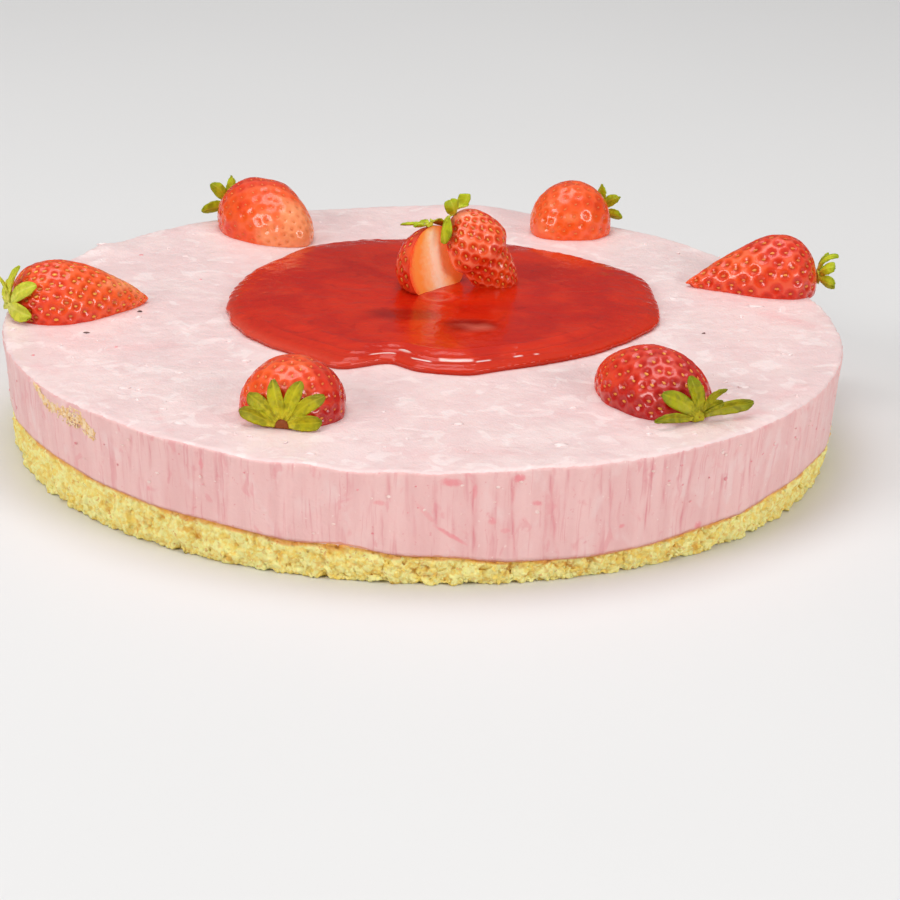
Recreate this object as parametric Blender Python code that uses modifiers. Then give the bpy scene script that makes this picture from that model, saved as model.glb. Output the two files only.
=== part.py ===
"""A chilled strawberry cheesecake: crumb base, pink filling, red jelly and halved strawberries.

Units are metres, +Z is up and the origin is the centre of the flat underside. The cake is seen
in the photograph from -Y, so +X is to the right. Angles round the cake run from +X towards +Y.
"""
import math

import bmesh
import bpy
from mathutils import Matrix, Vector, noise

# Whole cake. It was set in a springform tin of 230 mm, whose wall leans out a little.
RIM_RADIUS = 0.1150
FOOT_RADIUS = 0.1122
CAKE_HEIGHT = 0.0314
GAP = 0.0003

# Crumb base. Its side rows are shares of its height, from the seam down.
SEAM_HEIGHT = 0.0095
SEAM_LEVEL_RADIUS = 0.0950
SEAM_BAND_RADIUS = 0.1080
BASE_INSET = 0.0012
BASE_UNDERCUT = 0.0006
BASE_STEPS = 240
BASE_ROWS = (1.0, 0.72, 0.42, 0.15, 0.0)
CRAG_DEPTH = 0.0013
CRAG_SIZE = 0.0038

# Filling
FILLING_STEPS = 180
RIM_ROUNDING = 0.0014
RIM_CORNER = ((1.0, 0.07), (0.2, 0.5), (0.0, 1.3))
LIP_START_RADIUS = 0.0980
LIP_MIDDLE_RADIUS = 0.1085
LIP_FULL_RADIUS = 0.1120
FILLING_WALL_HEIGHTS = (0.0245, 0.0160)
FILLING_UNEVENNESS = 0.0003
FILLING_BUMP_SIZE = 0.0120

# Jelly pool. Its border is shares of its radius and thickness, from the level middle outward.
JELLY_CENTRE = (0.0055, 0.0150)
JELLY_RADIUS = 0.0600
JELLY_THICKNESS = 0.0035
JELLY_STEPS = 120
JELLY_BORDER = ((0.43, 1.0), (0.74, 1.0), (0.85, 0.93), (0.94, 0.74), (0.985, 0.48), (1.0, 0.22),
                (0.993, 0.0))

# Strawberries: how far the standing pair is pressed into the jelly, and their pocket's clearance
SINK = 0.0022
POCKET_CLEARANCE = 0.0005
BERRY_SEGMENTS = 20
BERRY_RINGS = 14
BERRY_TIP_RAISED = 0.0008

# Green calyx of a strawberry. Leaf rows are (share of the length, share of the half width).
LEAF_THICKNESS = 0.0005
LEAF_CLEARANCE = 0.0009
HUB_RADIUS = 0.0017
HUB_STAND_OFF = 0.0008
LEAF_CURL_LENGTH = 0.0060
LEAF_CUPPING = 0.25
LEAF_MARGIN = 0.0002
LEAF_ROWS = ((0.38, 1.0), (0.74, 0.78))

TOP = CAKE_HEIGHT + GAP
JELLY_TOP = TOP + JELLY_THICKNESS

# Each rim piece lies on its cut face, its tip on the cake and its axis raised a little at the
# calyx end. Calyx and tip are points seen from above. A leaf is (direction round the stem in
# degrees, length, half width, bend): a bend below 0 curls away from the fruit, one above 0 over it.
RIM_BERRIES = {
    "left": {
        "calyx": (-0.1125, -0.0030), "tip": (-0.0770, 0.0127), "raised": 0.0023,
        "width": 0.0123, "height": 0.0124, "widest": 0.30, "blunt": 0.78,
        "leaves": ((-8, 0.0065, 0.0016, 0.5), (38, 0.0080, 0.0016, 0.4), (80, 0.0100, 0.0012, -0.6),
                   (102, 0.0110, 0.0016, 0.2), (134, 0.0085, 0.0018, 0.9), (172, 0.0070, 0.0022, 0.8)),
    },
    "back_left": {
        "calyx": (-0.0588, 0.0965), "tip": (-0.0362, 0.0692), "raised": 0.0040,
        "width": 0.0123, "height": 0.0124, "widest": 0.42, "blunt": 0.52,
        "leaves": ((-10, 0.0070, 0.0018, -0.3), (40, 0.0070, 0.0018, -0.5), (88, 0.0070, 0.0018, -0.6),
                   (136, 0.0080, 0.0019, -0.4), (185, 0.0085, 0.0019, -0.3)),
    },
    "front_left": {
        "calyx": (-0.0340, -0.0868), "tip": (-0.0295, -0.0535), "raised": 0.0008,
        "width": 0.0136, "height": 0.0132, "widest": 0.38, "blunt": 0.62,
        "leaves": ((10, 0.0105, 0.0020, 0.3), (38, 0.0075, 0.0018, 0.9), (76, 0.0095, 0.0019, 0.5),
                   (112, 0.0085, 0.0018, 0.7), (141, 0.0100, 0.0019, 0.6), (170, 0.0085, 0.0022, 0.3)),
    },
    "front_right": {
        "calyx": (0.0710, -0.0722), "tip": (0.0485, -0.0400), "raised": 0.0010,
        "width": 0.0128, "height": 0.0129, "widest": 0.44, "blunt": 0.56,
        "leaves": ((10, 0.0080, 0.0015, 0.2), (40, 0.0085, 0.0022, 1.0), (84, 0.0095, 0.0021, 0.3),
                   (122, 0.0095, 0.0012, -0.7), (150, 0.0060, 0.0015, -0.5), (168, 0.0140, 0.0019, -0.2)),
    },
    "right": {
        "calyx": (0.1115, 0.0450), "tip": (0.0742, 0.0418), "raised": 0.0028,
        "width": 0.0124, "height": 0.0126, "widest": 0.27, "blunt": 0.92,
        "leaves": ((-6, 0.0065, 0.0019, -1.1), (42, 0.0065, 0.0018, -1.2), (90, 0.0085, 0.0019, -1.4),
                   (138, 0.0070, 0.0018, -1.0), (184, 0.0065, 0.0019, -0.8)),
    },
    "back_right": {
        "calyx": (0.0508, 0.1022), "tip": (0.0325, 0.0858), "raised": 0.0038,
        "width": 0.0118, "height": 0.0122, "widest": 0.44, "blunt": 0.50,
        "leaves": ((-8, 0.0065, 0.0016, -0.4), (42, 0.0070, 0.0017, -0.6), (92, 0.0065, 0.0018, -0.3),
                   (138, 0.0065, 0.0018, -0.5), (184, 0.0065, 0.0018, -0.6)),
    },
}

# The two standing halves face each other. Calyx and foot are the ends of the axis that shows
# above the jelly, full_length is the whole fruit's, and bulge is the way its round side faces.
CENTRE_BERRIES = {
    "centre_left": {
        "calyx": (0.0010, 0.0230, 0.0525), "foot": (0.0044, 0.0215, 0.0349),
        "full_length": 0.0252, "bulge": (-0.77, 0.64, 0.0),
        "width": 0.0115, "height": 0.0113, "widest": 0.46, "blunt": 0.52,
        "leaves": ((6, 0.0055, 0.0017, 0.9), (58, 0.0050, 0.0013, -0.9), (112, 0.0062, 0.0016, 0.2),
                   (168, 0.0060, 0.0021, 1.2)),
    },
    "centre_right": {
        "calyx": (0.0075, 0.0265, 0.0552), "foot": (0.0205, 0.0290, 0.0349),
        "full_length": 0.0310, "bulge": (0.62, -0.74, 0.25),
        "width": 0.0099, "height": 0.0106, "widest": 0.46, "blunt": 0.50,
        "leaves": ((30, 0.0060, 0.0020, -0.5), (95, 0.0045, 0.0015, -0.7), (160, 0.0060, 0.0024, -0.7)),
    },
}


def smooth_step(value, start, end):
    """0 before start, 1 after end and an even S between them."""
    share = min(max((value - start) / (end - start), 0.0), 1.0)
    return share * share * (3.0 - 2.0 * share)


def hump(angle, centre, spread):
    """A bell of height 1 round the cake, with its centre and spread in degrees."""
    away = (angle - centre + 180.0) % 360.0 - 180.0
    return math.exp(-0.5 * (away / spread) ** 2)


def polar(x, y):
    """Radius, and angle in degrees."""
    return math.hypot(x, y), math.degrees(math.atan2(y, x))


def round_noise(angle, waves, seed):
    """Smooth noise from -1 to 1 that closes round the cake, with about that many waves."""
    turn = math.radians(angle)
    reach = waves / math.tau
    return noise.noise(Vector((reach * math.cos(turn), reach * math.sin(turn), seed)))


def seam_height(angle):
    """Height of the base's top at the outside: thick on the left, thin at the front right."""
    return (SEAM_HEIGHT + 0.0032 * hump(angle, -147, 22) - 0.0036 * hump(angle, -68, 18)
            + 0.0010 * hump(angle, 60, 25) - 0.0012 * hump(angle, 120, 20))


def seam_edge(angle):
    """How far the filling's lower edge leaves the seam's even line."""
    return 0.0011 * hump(angle, -99, 3) + 0.0010 * round_noise(angle, 38, 3.1)


def lip_height(angle):
    """How far the rim of the top stands above or below its general level."""
    high = (0.0015 * hump(angle, 84, 6) + 0.0009 * hump(angle, 146.3, 1.8)
            + 0.0005 * hump(angle, -75, 6) + 0.0005 * hump(angle, -135, 4))
    low = (0.0011 * hump(angle, 38, 7) + 0.0007 * hump(angle, -98, 2.5)
           + 0.0006 * hump(angle, -111, 3) + 0.0004 * hump(angle, -88, 2))
    return high - low + 0.0002 * round_noise(angle, 45, 8.4)


def jelly_outline(angle):
    """Radius of the jelly pool, which ran out further in some places than in others."""
    shape = (-0.0056 * hump(angle, -58, 27) + 0.0035 * hump(angle, -116, 4)
             - 0.0070 * hump(angle, -106, 5.5) + 0.0015 * hump(angle, -82, 5)
             + 0.0012 * hump(angle, -9, 6) + 0.0032 * hump(angle, 28, 9)
             + 0.0038 * hump(angle, 124, 13) + 0.0018 * hump(angle, -152, 12))
    return JELLY_RADIUS + shape + 0.0007 * round_noise(angle, 30, 5.7)


def clear_scene():
    """Start from an empty scene."""
    for obj in list(bpy.data.objects):
        bpy.data.objects.remove(obj, do_unlink=True)


def new_collection(name):
    """Make a collection in the scene."""
    collection = bpy.data.collections.new(name)
    bpy.context.scene.collection.children.link(collection)
    return collection


def material(name, colour, roughness):
    """A Principled material of one colour."""
    made = bpy.data.materials.new(name)
    made.use_nodes = True
    shader = made.node_tree.nodes["Principled BSDF"]
    shader.inputs["Base Color"].default_value = (*colour, 1.0)
    shader.inputs["Roughness"].default_value = roughness
    shader.inputs["Metallic"].default_value = 0.0
    return made


def add_object(name, mesh, collection, paint=None):
    """Put a mesh into the scene under its node's name."""
    obj = bpy.data.objects.new(name, mesh)
    collection.objects.link(obj)
    if paint is not None:
        mesh.materials.append(paint)
    return obj


def turned_mesh(name, profile, steps):
    """The mesh of a profile of (radius, height) points turned round Z."""
    line = bpy.data.meshes.new(name + "_profile")
    points = [(radius, 0.0, height) for radius, height in profile]
    edges = [(i, i + 1) for i in range(len(points) - 1)]
    line.from_pydata(points, edges, [])
    turned = bpy.data.objects.new(name + "_turned", line)
    bpy.context.scene.collection.objects.link(turned)
    screw = turned.modifiers.new("turn", "SCREW")
    screw.steps = steps
    screw.render_steps = steps
    screw.use_merge_vertices = True
    screw.merge_threshold = 0.00001
    depsgraph = bpy.context.evaluated_depsgraph_get()
    mesh = bpy.data.meshes.new_from_object(turned.evaluated_get(depsgraph))
    mesh.name = name
    bpy.data.objects.remove(turned, do_unlink=True)
    bpy.data.meshes.remove(line)
    return mesh


def seam_surface(radius, angle):
    """The level where base and filling meet: even inside, and following the seam at the outside."""
    share = smooth_step(radius, SEAM_LEVEL_RADIUS, SEAM_BAND_RADIUS)
    return SEAM_HEIGHT + share * (seam_height(angle) - SEAM_HEIGHT)


def wall_radius(height):
    """Radius of the tin's leaning wall."""
    return FOOT_RADIUS + (RIM_RADIUS - FOOT_RADIUS) * height / CAKE_HEIGHT


def build_base(collection):
    """The pressed crumb base: flat below, craggy at the side and a little undercut."""
    outside = FOOT_RADIUS - 0.5 * BASE_INSET
    profile = [(0.0, SEAM_HEIGHT), (SEAM_LEVEL_RADIUS, SEAM_HEIGHT), (SEAM_BAND_RADIUS, SEAM_HEIGHT)]
    profile += [(outside, SEAM_HEIGHT * share) for share in BASE_ROWS]
    profile += [(0.0, 0.0)]
    mesh = turned_mesh("biscuit_base", profile, BASE_STEPS)
    for vertex in mesh.vertices:
        radius, angle = polar(vertex.co.x, vertex.co.y)
        share = vertex.co.z / SEAM_HEIGHT
        vertex.co.z = share * seam_surface(radius, angle)
        if radius > SEAM_BAND_RADIUS + GAP:
            place = Vector((vertex.co.x, vertex.co.y, vertex.co.z)) / CRAG_SIZE
            crag = CRAG_DEPTH * noise.noise(place) + 0.4 * CRAG_DEPTH * noise.noise(place * 2.3)
            inset = 0.5 * BASE_INSET * smooth_step(share, 0.5, 1.0)
            undercut = BASE_UNDERCUT * (1.0 - smooth_step(share, 0.0, 0.4))
            grown = outside - inset - undercut + crag
            vertex.co.x *= grown / radius
            vertex.co.y *= grown / radius
            if 0.1 < share < 0.9:
                vertex.co.z += 0.5 * crag
    mesh.shade_smooth()
    mesh.set_sharp_from_angle(angle=math.radians(40))
    paint = material("biscuit", (0.694, 0.577, 0.203), 0.9)
    return add_object("biscuit_base", mesh, collection, paint)


def build_filling(collection):
    """The set pink filling, with a rounded rim that is uneven round the cake."""
    floor = SEAM_HEIGHT + GAP
    inner_edge = FOOT_RADIUS - GAP
    profile = [(0.0, CAKE_HEIGHT), (LIP_START_RADIUS, CAKE_HEIGHT), (LIP_MIDDLE_RADIUS, CAKE_HEIGHT)]
    profile += [(RIM_RADIUS - RIM_ROUNDING * inward, CAKE_HEIGHT - RIM_ROUNDING * down)
                for inward, down in RIM_CORNER]
    profile += [(wall_radius(height), height) for height in FILLING_WALL_HEIGHTS]
    profile += [(wall_radius(SEAM_HEIGHT), floor), (inner_edge, floor)]
    profile += [(SEAM_BAND_RADIUS, floor), (SEAM_LEVEL_RADIUS, floor), (0.0, floor)]
    mesh = turned_mesh("cheesecake_filling", profile, FILLING_STEPS)
    for vertex in mesh.vertices:
        radius, angle = polar(vertex.co.x, vertex.co.y)
        height = vertex.co.z
        top_share = (height - floor) / (CAKE_HEIGHT - floor)
        lip_share = smooth_step(radius, LIP_START_RADIUS, LIP_FULL_RADIUS)
        shift = (1.0 - top_share) * (seam_surface(radius, angle) - SEAM_HEIGHT)
        shift += max(top_share, 0.0) ** 3 * lip_share * lip_height(angle)
        if height < floor + GAP and radius > inner_edge + GAP:
            shift += seam_edge(angle)
        vertex.co.z = height + shift
        if radius > LIP_FULL_RADIUS:
            place = Vector((vertex.co.x, vertex.co.y, 0.3 * height)) / FILLING_BUMP_SIZE
            grown = radius + FILLING_UNEVENNESS * noise.noise(place)
            vertex.co.x *= grown / radius
            vertex.co.y *= grown / radius
    mesh.shade_smooth()
    mesh.set_sharp_from_angle(angle=math.radians(50))
    paint = material("pink_filling", (0.855, 0.645, 0.617), 0.5)
    return add_object("cheesecake_filling", mesh, collection, paint)


def build_jelly(collection):
    """The pool of red jelly: a steep little edge, a sloping border and a level middle."""
    profile = [(0.0, JELLY_THICKNESS)]
    profile += [(out * JELLY_RADIUS, high * JELLY_THICKNESS) for out, high in JELLY_BORDER]
    profile += [(0.0, 0.0)]
    mesh = turned_mesh("jelly_topping", profile, JELLY_STEPS)
    for vertex in mesh.vertices:
        radius, angle = polar(vertex.co.x, vertex.co.y)
        pull = (radius / JELLY_RADIUS) ** 2
        stretch = 1.0 + pull * (jelly_outline(angle) / JELLY_RADIUS - 1.0)
        vertex.co.x *= stretch
        vertex.co.y *= stretch
    mesh.shade_smooth()
    mesh.set_sharp_from_angle(angle=math.radians(50))
    paint = material("jelly", (0.480, 0.030, 0.018), 0.08)
    jelly = add_object("jelly_topping", mesh, collection, paint)
    jelly.location = (*JELLY_CENTRE, TOP)
    return jelly


def frame_matrix(origin, axis, bulge):
    """Rotation and place of a fruit: local +X runs to its tip, local +Z out of its cut face."""
    along = Vector(axis).normalized()
    up = Vector(bulge)
    up = (up - along * up.dot(along)).normalized()
    across = up.cross(along)
    turn = Matrix((along, across, up)).transposed()
    return Matrix.Translation(origin) @ turn.to_4x4()


def rim_matrix(berry):
    """Place of a piece that lies on the cake's top, from its calyx end and its tip."""
    start = Vector((*berry["calyx"], TOP + berry["raised"]))
    end = Vector((*berry["tip"], TOP + BERRY_TIP_RAISED))
    return frame_matrix(start, end - start, (0.0, 0.0, 1.0))


def centre_matrix(berry):
    """Place of a half that stands in the jelly."""
    start = Vector(berry["calyx"])
    end = Vector(berry["foot"])
    return frame_matrix(start, end - start, berry["bulge"])


def fruit_girth(berry, share):
    """Girth of a strawberry from 0 to 1, at a share of its length from calyx to tip."""
    bend = math.log(0.5) / math.log(berry["widest"])
    inside = math.sin(math.pi * min(max(share, 0.0), 1.0) ** bend)
    return max(inside, 0.0) ** berry["blunt"]


def fruit_length(berry):
    """Length from calyx to tip."""
    if "tip" in berry:
        return (Vector(berry["tip"]) - Vector(berry["calyx"])).length
    return berry["full_length"]


def whole_berry(berry, seed):
    """A whole strawberry: a ball drawn out along local X to the fruit's form."""
    length = fruit_length(berry)
    bm = bmesh.new()
    bmesh.ops.create_uvsphere(bm, u_segments=BERRY_SEGMENTS, v_segments=BERRY_RINGS, radius=1.0)
    for vertex in bm.verts:
        across, up, pole = vertex.co
        share = 0.5 * (1.0 - pole)
        ring = max(math.hypot(across, up), 1e-6)
        girth = fruit_girth(berry, share)
        lump = 1.0 + 0.05 * noise.noise(Vector((2.2 * pole, across, up + seed)))
        side = lump * berry["width"] * girth * across / ring
        rise = lump * berry["height"] * girth * up / ring
        vertex.co = (length * share, side, rise)
    return bm


def slice_off(bm, spot, point, outward):
    """Cut a closed mesh at a plane given in the cake's frame, and close the cut."""
    local_point = spot.inverted() @ Vector(point)
    local_outward = spot.to_3x3().inverted() @ Vector(outward)
    everything = bm.verts[:] + bm.edges[:] + bm.faces[:]
    bmesh.ops.bisect_plane(bm, geom=everything, dist=1e-6, plane_co=local_point,
                           plane_no=local_outward, clear_outer=True)
    rim = [edge for edge in bm.edges if edge.is_boundary]
    bmesh.ops.edgeloop_fill(bm, edges=rim)
    bmesh.ops.recalc_face_normals(bm, faces=bm.faces)


def add_fruit(place, bm, spot, collection, paint):
    """Put a cut strawberry into the cake, with a smooth skin and a sharp cut edge."""
    mesh = bpy.data.meshes.new("berry_" + place)
    bm.to_mesh(mesh)
    mesh.shade_smooth()
    mesh.set_sharp_from_angle(angle=math.radians(40))
    fruit = add_object("berry_" + place, mesh, collection, paint)
    fruit.matrix_world = spot


def build_rim_berries(collection, paint):
    """The six pieces that lie round the rim."""
    for number, (place, berry) in enumerate(RIM_BERRIES.items()):
        spot = rim_matrix(berry)
        bm = whole_berry(berry, 3.0 * number)
        slice_off(bm, spot, (0.0, 0.0, TOP), (0.0, 0.0, -1.0))
        add_fruit(place, bm, spot, collection, paint)
        bm.free()


def build_centre_berries(collection, cutters, jelly, paint):
    """The two halves that stand in the jelly, each in a pocket of its own."""
    for number, (place, berry) in enumerate(CENTRE_BERRIES.items()):
        spot = centre_matrix(berry)
        bm = whole_berry(berry, 31.0 + 3.0 * number)
        slice_off(bm, spot, berry["calyx"], -spot.col[2].to_3d())
        slice_off(bm, spot, (0.0, 0.0, JELLY_TOP - SINK), (0.0, 0.0, -1.0))
        add_fruit(place, bm, spot, collection, paint)
        for vertex in bm.verts:
            vertex.co += vertex.normal * POCKET_CLEARANCE
        pocket = bpy.data.meshes.new("pocket_" + place)
        bm.to_mesh(pocket)
        bm.free()
        cutter = add_object("pocket_" + place, pocket, cutters)
        cutter.matrix_world = spot
        cutter.hide_render = True
        cutter.display_type = "WIRE"
        cut = jelly.modifiers.new("pocket_" + place, "BOOLEAN")
        cut.operation = "DIFFERENCE"
        cut.object = cutter


def clear_of_fruit(berry, point):
    """Move a leaf's point out, away from the fruit's axis, until it clears the skin."""
    if point.x > -HUB_STAND_OFF:
        length = fruit_length(berry)
        girth = max(fruit_girth(berry, point.x / length), fruit_girth(berry, point.x / length + 0.03))
        clear = girth * max(berry["width"], berry["height"]) * 1.03 + LEAF_CLEARANCE
        across = math.hypot(point.y, point.z)
        if across < clear:
            point.y *= clear / across
            point.z *= clear / across
    return point


def leaf_curl(reach, bend):
    """Where a leaf's midrib runs at a reach: out from the stem, and along the fruit."""
    curl = bend * reach / LEAF_CURL_LENGTH
    return HUB_RADIUS + reach * math.sin(curl) / curl, reach * (1.0 - math.cos(curl)) / curl


def leaf_point(berry, direction, reach, aside, bend):
    """A point of a leaf, at a reach along its curling midrib and aside from it."""
    turn = math.radians(direction)
    radial = Vector((0.0, math.cos(turn), math.sin(turn)))
    tangent = Vector((0.0, -math.sin(turn), math.cos(turn)))
    out, along = leaf_curl(reach, bend)
    point = radial * out + tangent * aside
    point.x = -HUB_STAND_OFF + along - LEAF_CUPPING * abs(aside)
    return clear_of_fruit(berry, point)


def leaf_row(berry, leaf, share, fullness, rooms):
    """Three points across a leaf, kept within the sector between it and its neighbours."""
    direction, reach, half_width, bend = leaf
    out = leaf_curl(reach * share, bend)[0]
    row = []
    for side, room in zip((-1.0, 0.0, 1.0), rooms):
        sector = out * math.tan(math.radians(room)) - LEAF_MARGIN
        aside = side * min(half_width * fullness, max(sector, 0.0))
        row.append(leaf_point(berry, direction, reach * share, aside, bend))
    return row


def calyx_sheet(berry, spot, rest):
    """A fan of leaves round a stem as one thin sheet. rest is the lowest level for it, or None."""
    leaves = berry["leaves"]
    directions = [leaf[0] for leaf in leaves]
    borders = [0.5 * (one + other) for one, other in zip(directions, directions[1:])]
    first = min(0.0, directions[0] - 20.0)
    last = max(180.0, directions[-1] + 20.0)
    borders = [first, *borders, last]
    bm = bmesh.new()

    def corner(point):
        if rest is None:
            point.z = max(point.z, 0.0)
            return bm.verts.new(point)
        world = spot @ point
        world.z = max(world.z, rest)
        return bm.verts.new(spot.inverted() @ world)

    def hub_corner(direction):
        turn = math.radians(direction)
        return corner(Vector((-HUB_STAND_OFF, HUB_RADIUS * math.cos(turn), HUB_RADIUS * math.sin(turn))))

    centre = corner(Vector((-HUB_STAND_OFF - 0.0004, 0.0, 0.0)))
    hub = [hub_corner(border) for border in borders]
    for index, leaf in enumerate(leaves):
        direction, reach, _, bend = leaf
        near, middle, far = hub[index], hub_corner(direction), hub[index + 1]
        bm.faces.new((centre, near, middle))
        bm.faces.new((centre, middle, far))
        rooms = (direction - borders[index], 0.0, borders[index + 1] - direction)
        for share, fullness in LEAF_ROWS:
            row = [corner(point) for point in leaf_row(berry, leaf, share, fullness, rooms)]
            bm.faces.new((near, row[0], row[1], middle))
            bm.faces.new((middle, row[1], row[2], far))
            near, middle, far = row
        tip = corner(leaf_point(berry, direction, reach, 0.0, bend))
        bm.faces.new((near, tip, middle))
        bm.faces.new((middle, tip, far))
    bmesh.ops.triangulate(bm, faces=bm.faces)
    return bm


def build_calyxes(collection, paint):
    """The green tops of all the strawberries."""
    leaf_rest = TOP + LEAF_THICKNESS
    places = [(name, berry, rim_matrix(berry), leaf_rest) for name, berry in RIM_BERRIES.items()]
    places += [(name, berry, centre_matrix(berry), None) for name, berry in CENTRE_BERRIES.items()]
    for place, berry, spot, rest in places:
        bm = calyx_sheet(berry, spot, rest)
        mesh = bpy.data.meshes.new("calyx_" + place)
        bm.to_mesh(mesh)
        bm.free()
        mesh.shade_smooth()
        calyx = add_object("calyx_" + place, mesh, collection, paint)
        calyx.matrix_world = spot
        thick = calyx.modifiers.new("thickness", "SOLIDIFY")
        thick.thickness = LEAF_THICKNESS
        thick.offset = 0.0


def main():
    """Build the whole cake."""
    clear_scene()
    cake = new_collection("strawberry_cheesecake")
    cutters = new_collection("cutters")
    build_base(cake)
    build_filling(cake)
    jelly = build_jelly(cake)
    skin = material("strawberry", (0.780, 0.110, 0.045), 0.3)
    green = material("calyx_green", (0.450, 0.420, 0.040), 0.6)
    build_rim_berries(cake, skin)
    build_centre_berries(cake, cutters, jelly, skin)
    build_calyxes(cake, green)


main()
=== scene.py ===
"""The looks of a chilled strawberry cheesecake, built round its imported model.

Units are metres, +Z is up, the origin is the centre of the flat underside and the photograph
sees the cake from -Y. Angles round the cake are degrees from +X towards +Y. Every piece repeats
the form of the solid that it stands for, and adds the fine surface.
"""
import math

import bmesh
import bpy
import numpy as np
from mathutils import Matrix, Vector, kdtree, noise


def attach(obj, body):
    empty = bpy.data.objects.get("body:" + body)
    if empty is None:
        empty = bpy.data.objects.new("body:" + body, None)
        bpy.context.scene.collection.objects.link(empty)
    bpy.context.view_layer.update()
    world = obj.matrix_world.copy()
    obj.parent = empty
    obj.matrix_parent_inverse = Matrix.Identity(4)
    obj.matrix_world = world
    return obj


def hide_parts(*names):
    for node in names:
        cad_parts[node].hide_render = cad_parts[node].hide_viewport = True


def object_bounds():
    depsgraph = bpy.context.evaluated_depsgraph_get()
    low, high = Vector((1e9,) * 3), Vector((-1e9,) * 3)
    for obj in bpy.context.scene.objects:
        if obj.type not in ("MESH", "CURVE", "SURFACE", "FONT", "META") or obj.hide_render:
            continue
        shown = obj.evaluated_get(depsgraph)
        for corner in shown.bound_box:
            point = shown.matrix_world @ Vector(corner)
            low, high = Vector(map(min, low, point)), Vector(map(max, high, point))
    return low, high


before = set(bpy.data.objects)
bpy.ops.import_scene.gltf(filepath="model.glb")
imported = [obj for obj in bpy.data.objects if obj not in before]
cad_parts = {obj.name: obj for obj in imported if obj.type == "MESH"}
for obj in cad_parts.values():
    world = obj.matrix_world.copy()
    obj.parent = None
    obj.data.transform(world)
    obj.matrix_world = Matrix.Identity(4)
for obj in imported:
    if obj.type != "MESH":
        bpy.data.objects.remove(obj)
CAD_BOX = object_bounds()

# Forms that the solids have
RIM_RADIUS = 0.1150
FOOT_RADIUS = 0.1122
CAKE_HEIGHT = 0.0314
GAP = 0.0003
TOP = CAKE_HEIGHT + GAP
SEAM_HEIGHT = 0.0095
SEAM_LEVEL_RADIUS = 0.0950
SEAM_BAND_RADIUS = 0.1080
BASE_INSET = 0.0012
BASE_UNDERCUT = 0.0006
CRAG_DEPTH = 0.0013
CRAG_SIZE = 0.0038
RIM_ROUNDING = 0.0010
RIM_CORNER = ((1.0, 0.07), (0.2, 0.5), (0.0, 1.3))
LIP_START_RADIUS = 0.0980
LIP_FULL_RADIUS = 0.1120
JELLY_CENTRE = (0.0055, 0.0150)
JELLY_RADIUS = 0.0600
JELLY_THICKNESS = 0.0035
JELLY_TOP = TOP + JELLY_THICKNESS
JELLY_BORDER = ((0.43, 1.0), (0.74, 1.0), (0.85, 0.93), (0.94, 0.74), (0.985, 0.48), (1.0, 0.22),
                (0.993, 0.0))
SINK = 0.0022
BERRY_TIP_RAISED = 0.0008
LEAF_CLEARANCE = 0.0009
HUB_RADIUS = 0.0017
HUB_STAND_OFF = 0.0008
LEAF_CURL_LENGTH = 0.0060
LEAF_CUPPING = 0.25

# Seeds of the random draws, one for each job
SEEDS = {"crumbs": 11, "smear": 23, "streaks": 5, "bits": 41, "jelly": 17, "knobs": 7}
noise.seed_set(SEEDS["knobs"])

# Fine surface of the base
BASE_STEPS = 2600
BASE_SIDE_ROWS = 30
UNDERSIDE_RADII = (0.1095, 0.1000)
CRUMB_SIZES = ((0.0026, 0.00050), (0.0013, 0.00024))
LOOSE_CRUMBS = 560
CRUMB_SHAPES = 12
LUMP_DETAIL = 2
SMEAR_BITS = 620
SMEAR_THICKNESS = 0.00034

# Fine surface of the filling
FILLING_STEPS = 1600
TOP_RING_STEP = 0.0024
SIDE_ROWS = 17
GROOVE_DEPTH = 0.00024
RANDOM_FRUIT_BITS = 70
RANDOM_CREAM_SPECKS = 80
RANDOM_DABS = 80
SIDE_BIT_HEIGHTS = (0.0125, 0.0300)

# A streak in the side: angle at its upper end, angle at its lower end, both heights, strength
MAIN_STREAKS = (
    (-82.9, -82.5, 0.0312, 0.0084, 1.0), (-78.2, -77.3, 0.0292, 0.0094, 0.9),
    (-73.2, -72.1, 0.0300, 0.0102, 0.8), (-71.0, -71.1, 0.0306, 0.0190, 0.6),
    (-87.4, -87.3, 0.0274, 0.0164, 0.9), (-93.3, -93.3, 0.0305, 0.0234, 0.7),
    (-91.0, -90.9, 0.0296, 0.0190, 0.5), (-65.2, -64.7, 0.0293, 0.0135, 0.8),
    (-62.5, -62.1, 0.0285, 0.0193, 0.6), (-59.3, -59.4, 0.0303, 0.0101, 1.0),
    (-57.2, -56.9, 0.0295, 0.0167, 0.7), (-52.6, -53.7, 0.0302, 0.0096, 0.8),
    (-47.2, -47.0, 0.0214, 0.0090, 0.8), (-36.0, -36.8, 0.0220, 0.0108, 0.6),
    (-42.3, -41.1, 0.0290, 0.0120, 0.7), (-128.8, -129.6, 0.0288, 0.0193, 0.7),
    (-125.7, -126.0, 0.0304, 0.0211, 0.6), (-122.8, -123.0, 0.0293, 0.0199, 0.7),
    (-117.8, -118.0, 0.0304, 0.0221, 0.9), (-115.7, -116.0, 0.0307, 0.0175, 0.8),
)
OTHER_STREAKS = 230

# Dabs of cream raised on the top: x, y and radius
TOP_DABS = (
    (-0.0631, -0.0468, 0.0018), (-0.0763, -0.0599, 0.0020), (-0.0628, -0.0696, 0.0022),
    (-0.0784, -0.0017, 0.0016), (-0.0466, -0.0355, 0.0014), (-0.0521, -0.0201, 0.0015),
    (-0.0950, 0.0660, 0.0018), (0.0700, 0.0300, 0.0022), (0.0431, -0.0306, 0.0015),
    (0.0100, -0.0800, 0.0026), (-0.0600, -0.0850, 0.0022), (0.0850, -0.0450, 0.0026),
    (0.0930, 0.0250, 0.0030), (0.0360, -0.0930, 0.0028), (-0.0850, 0.0250, 0.0018),
)
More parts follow.
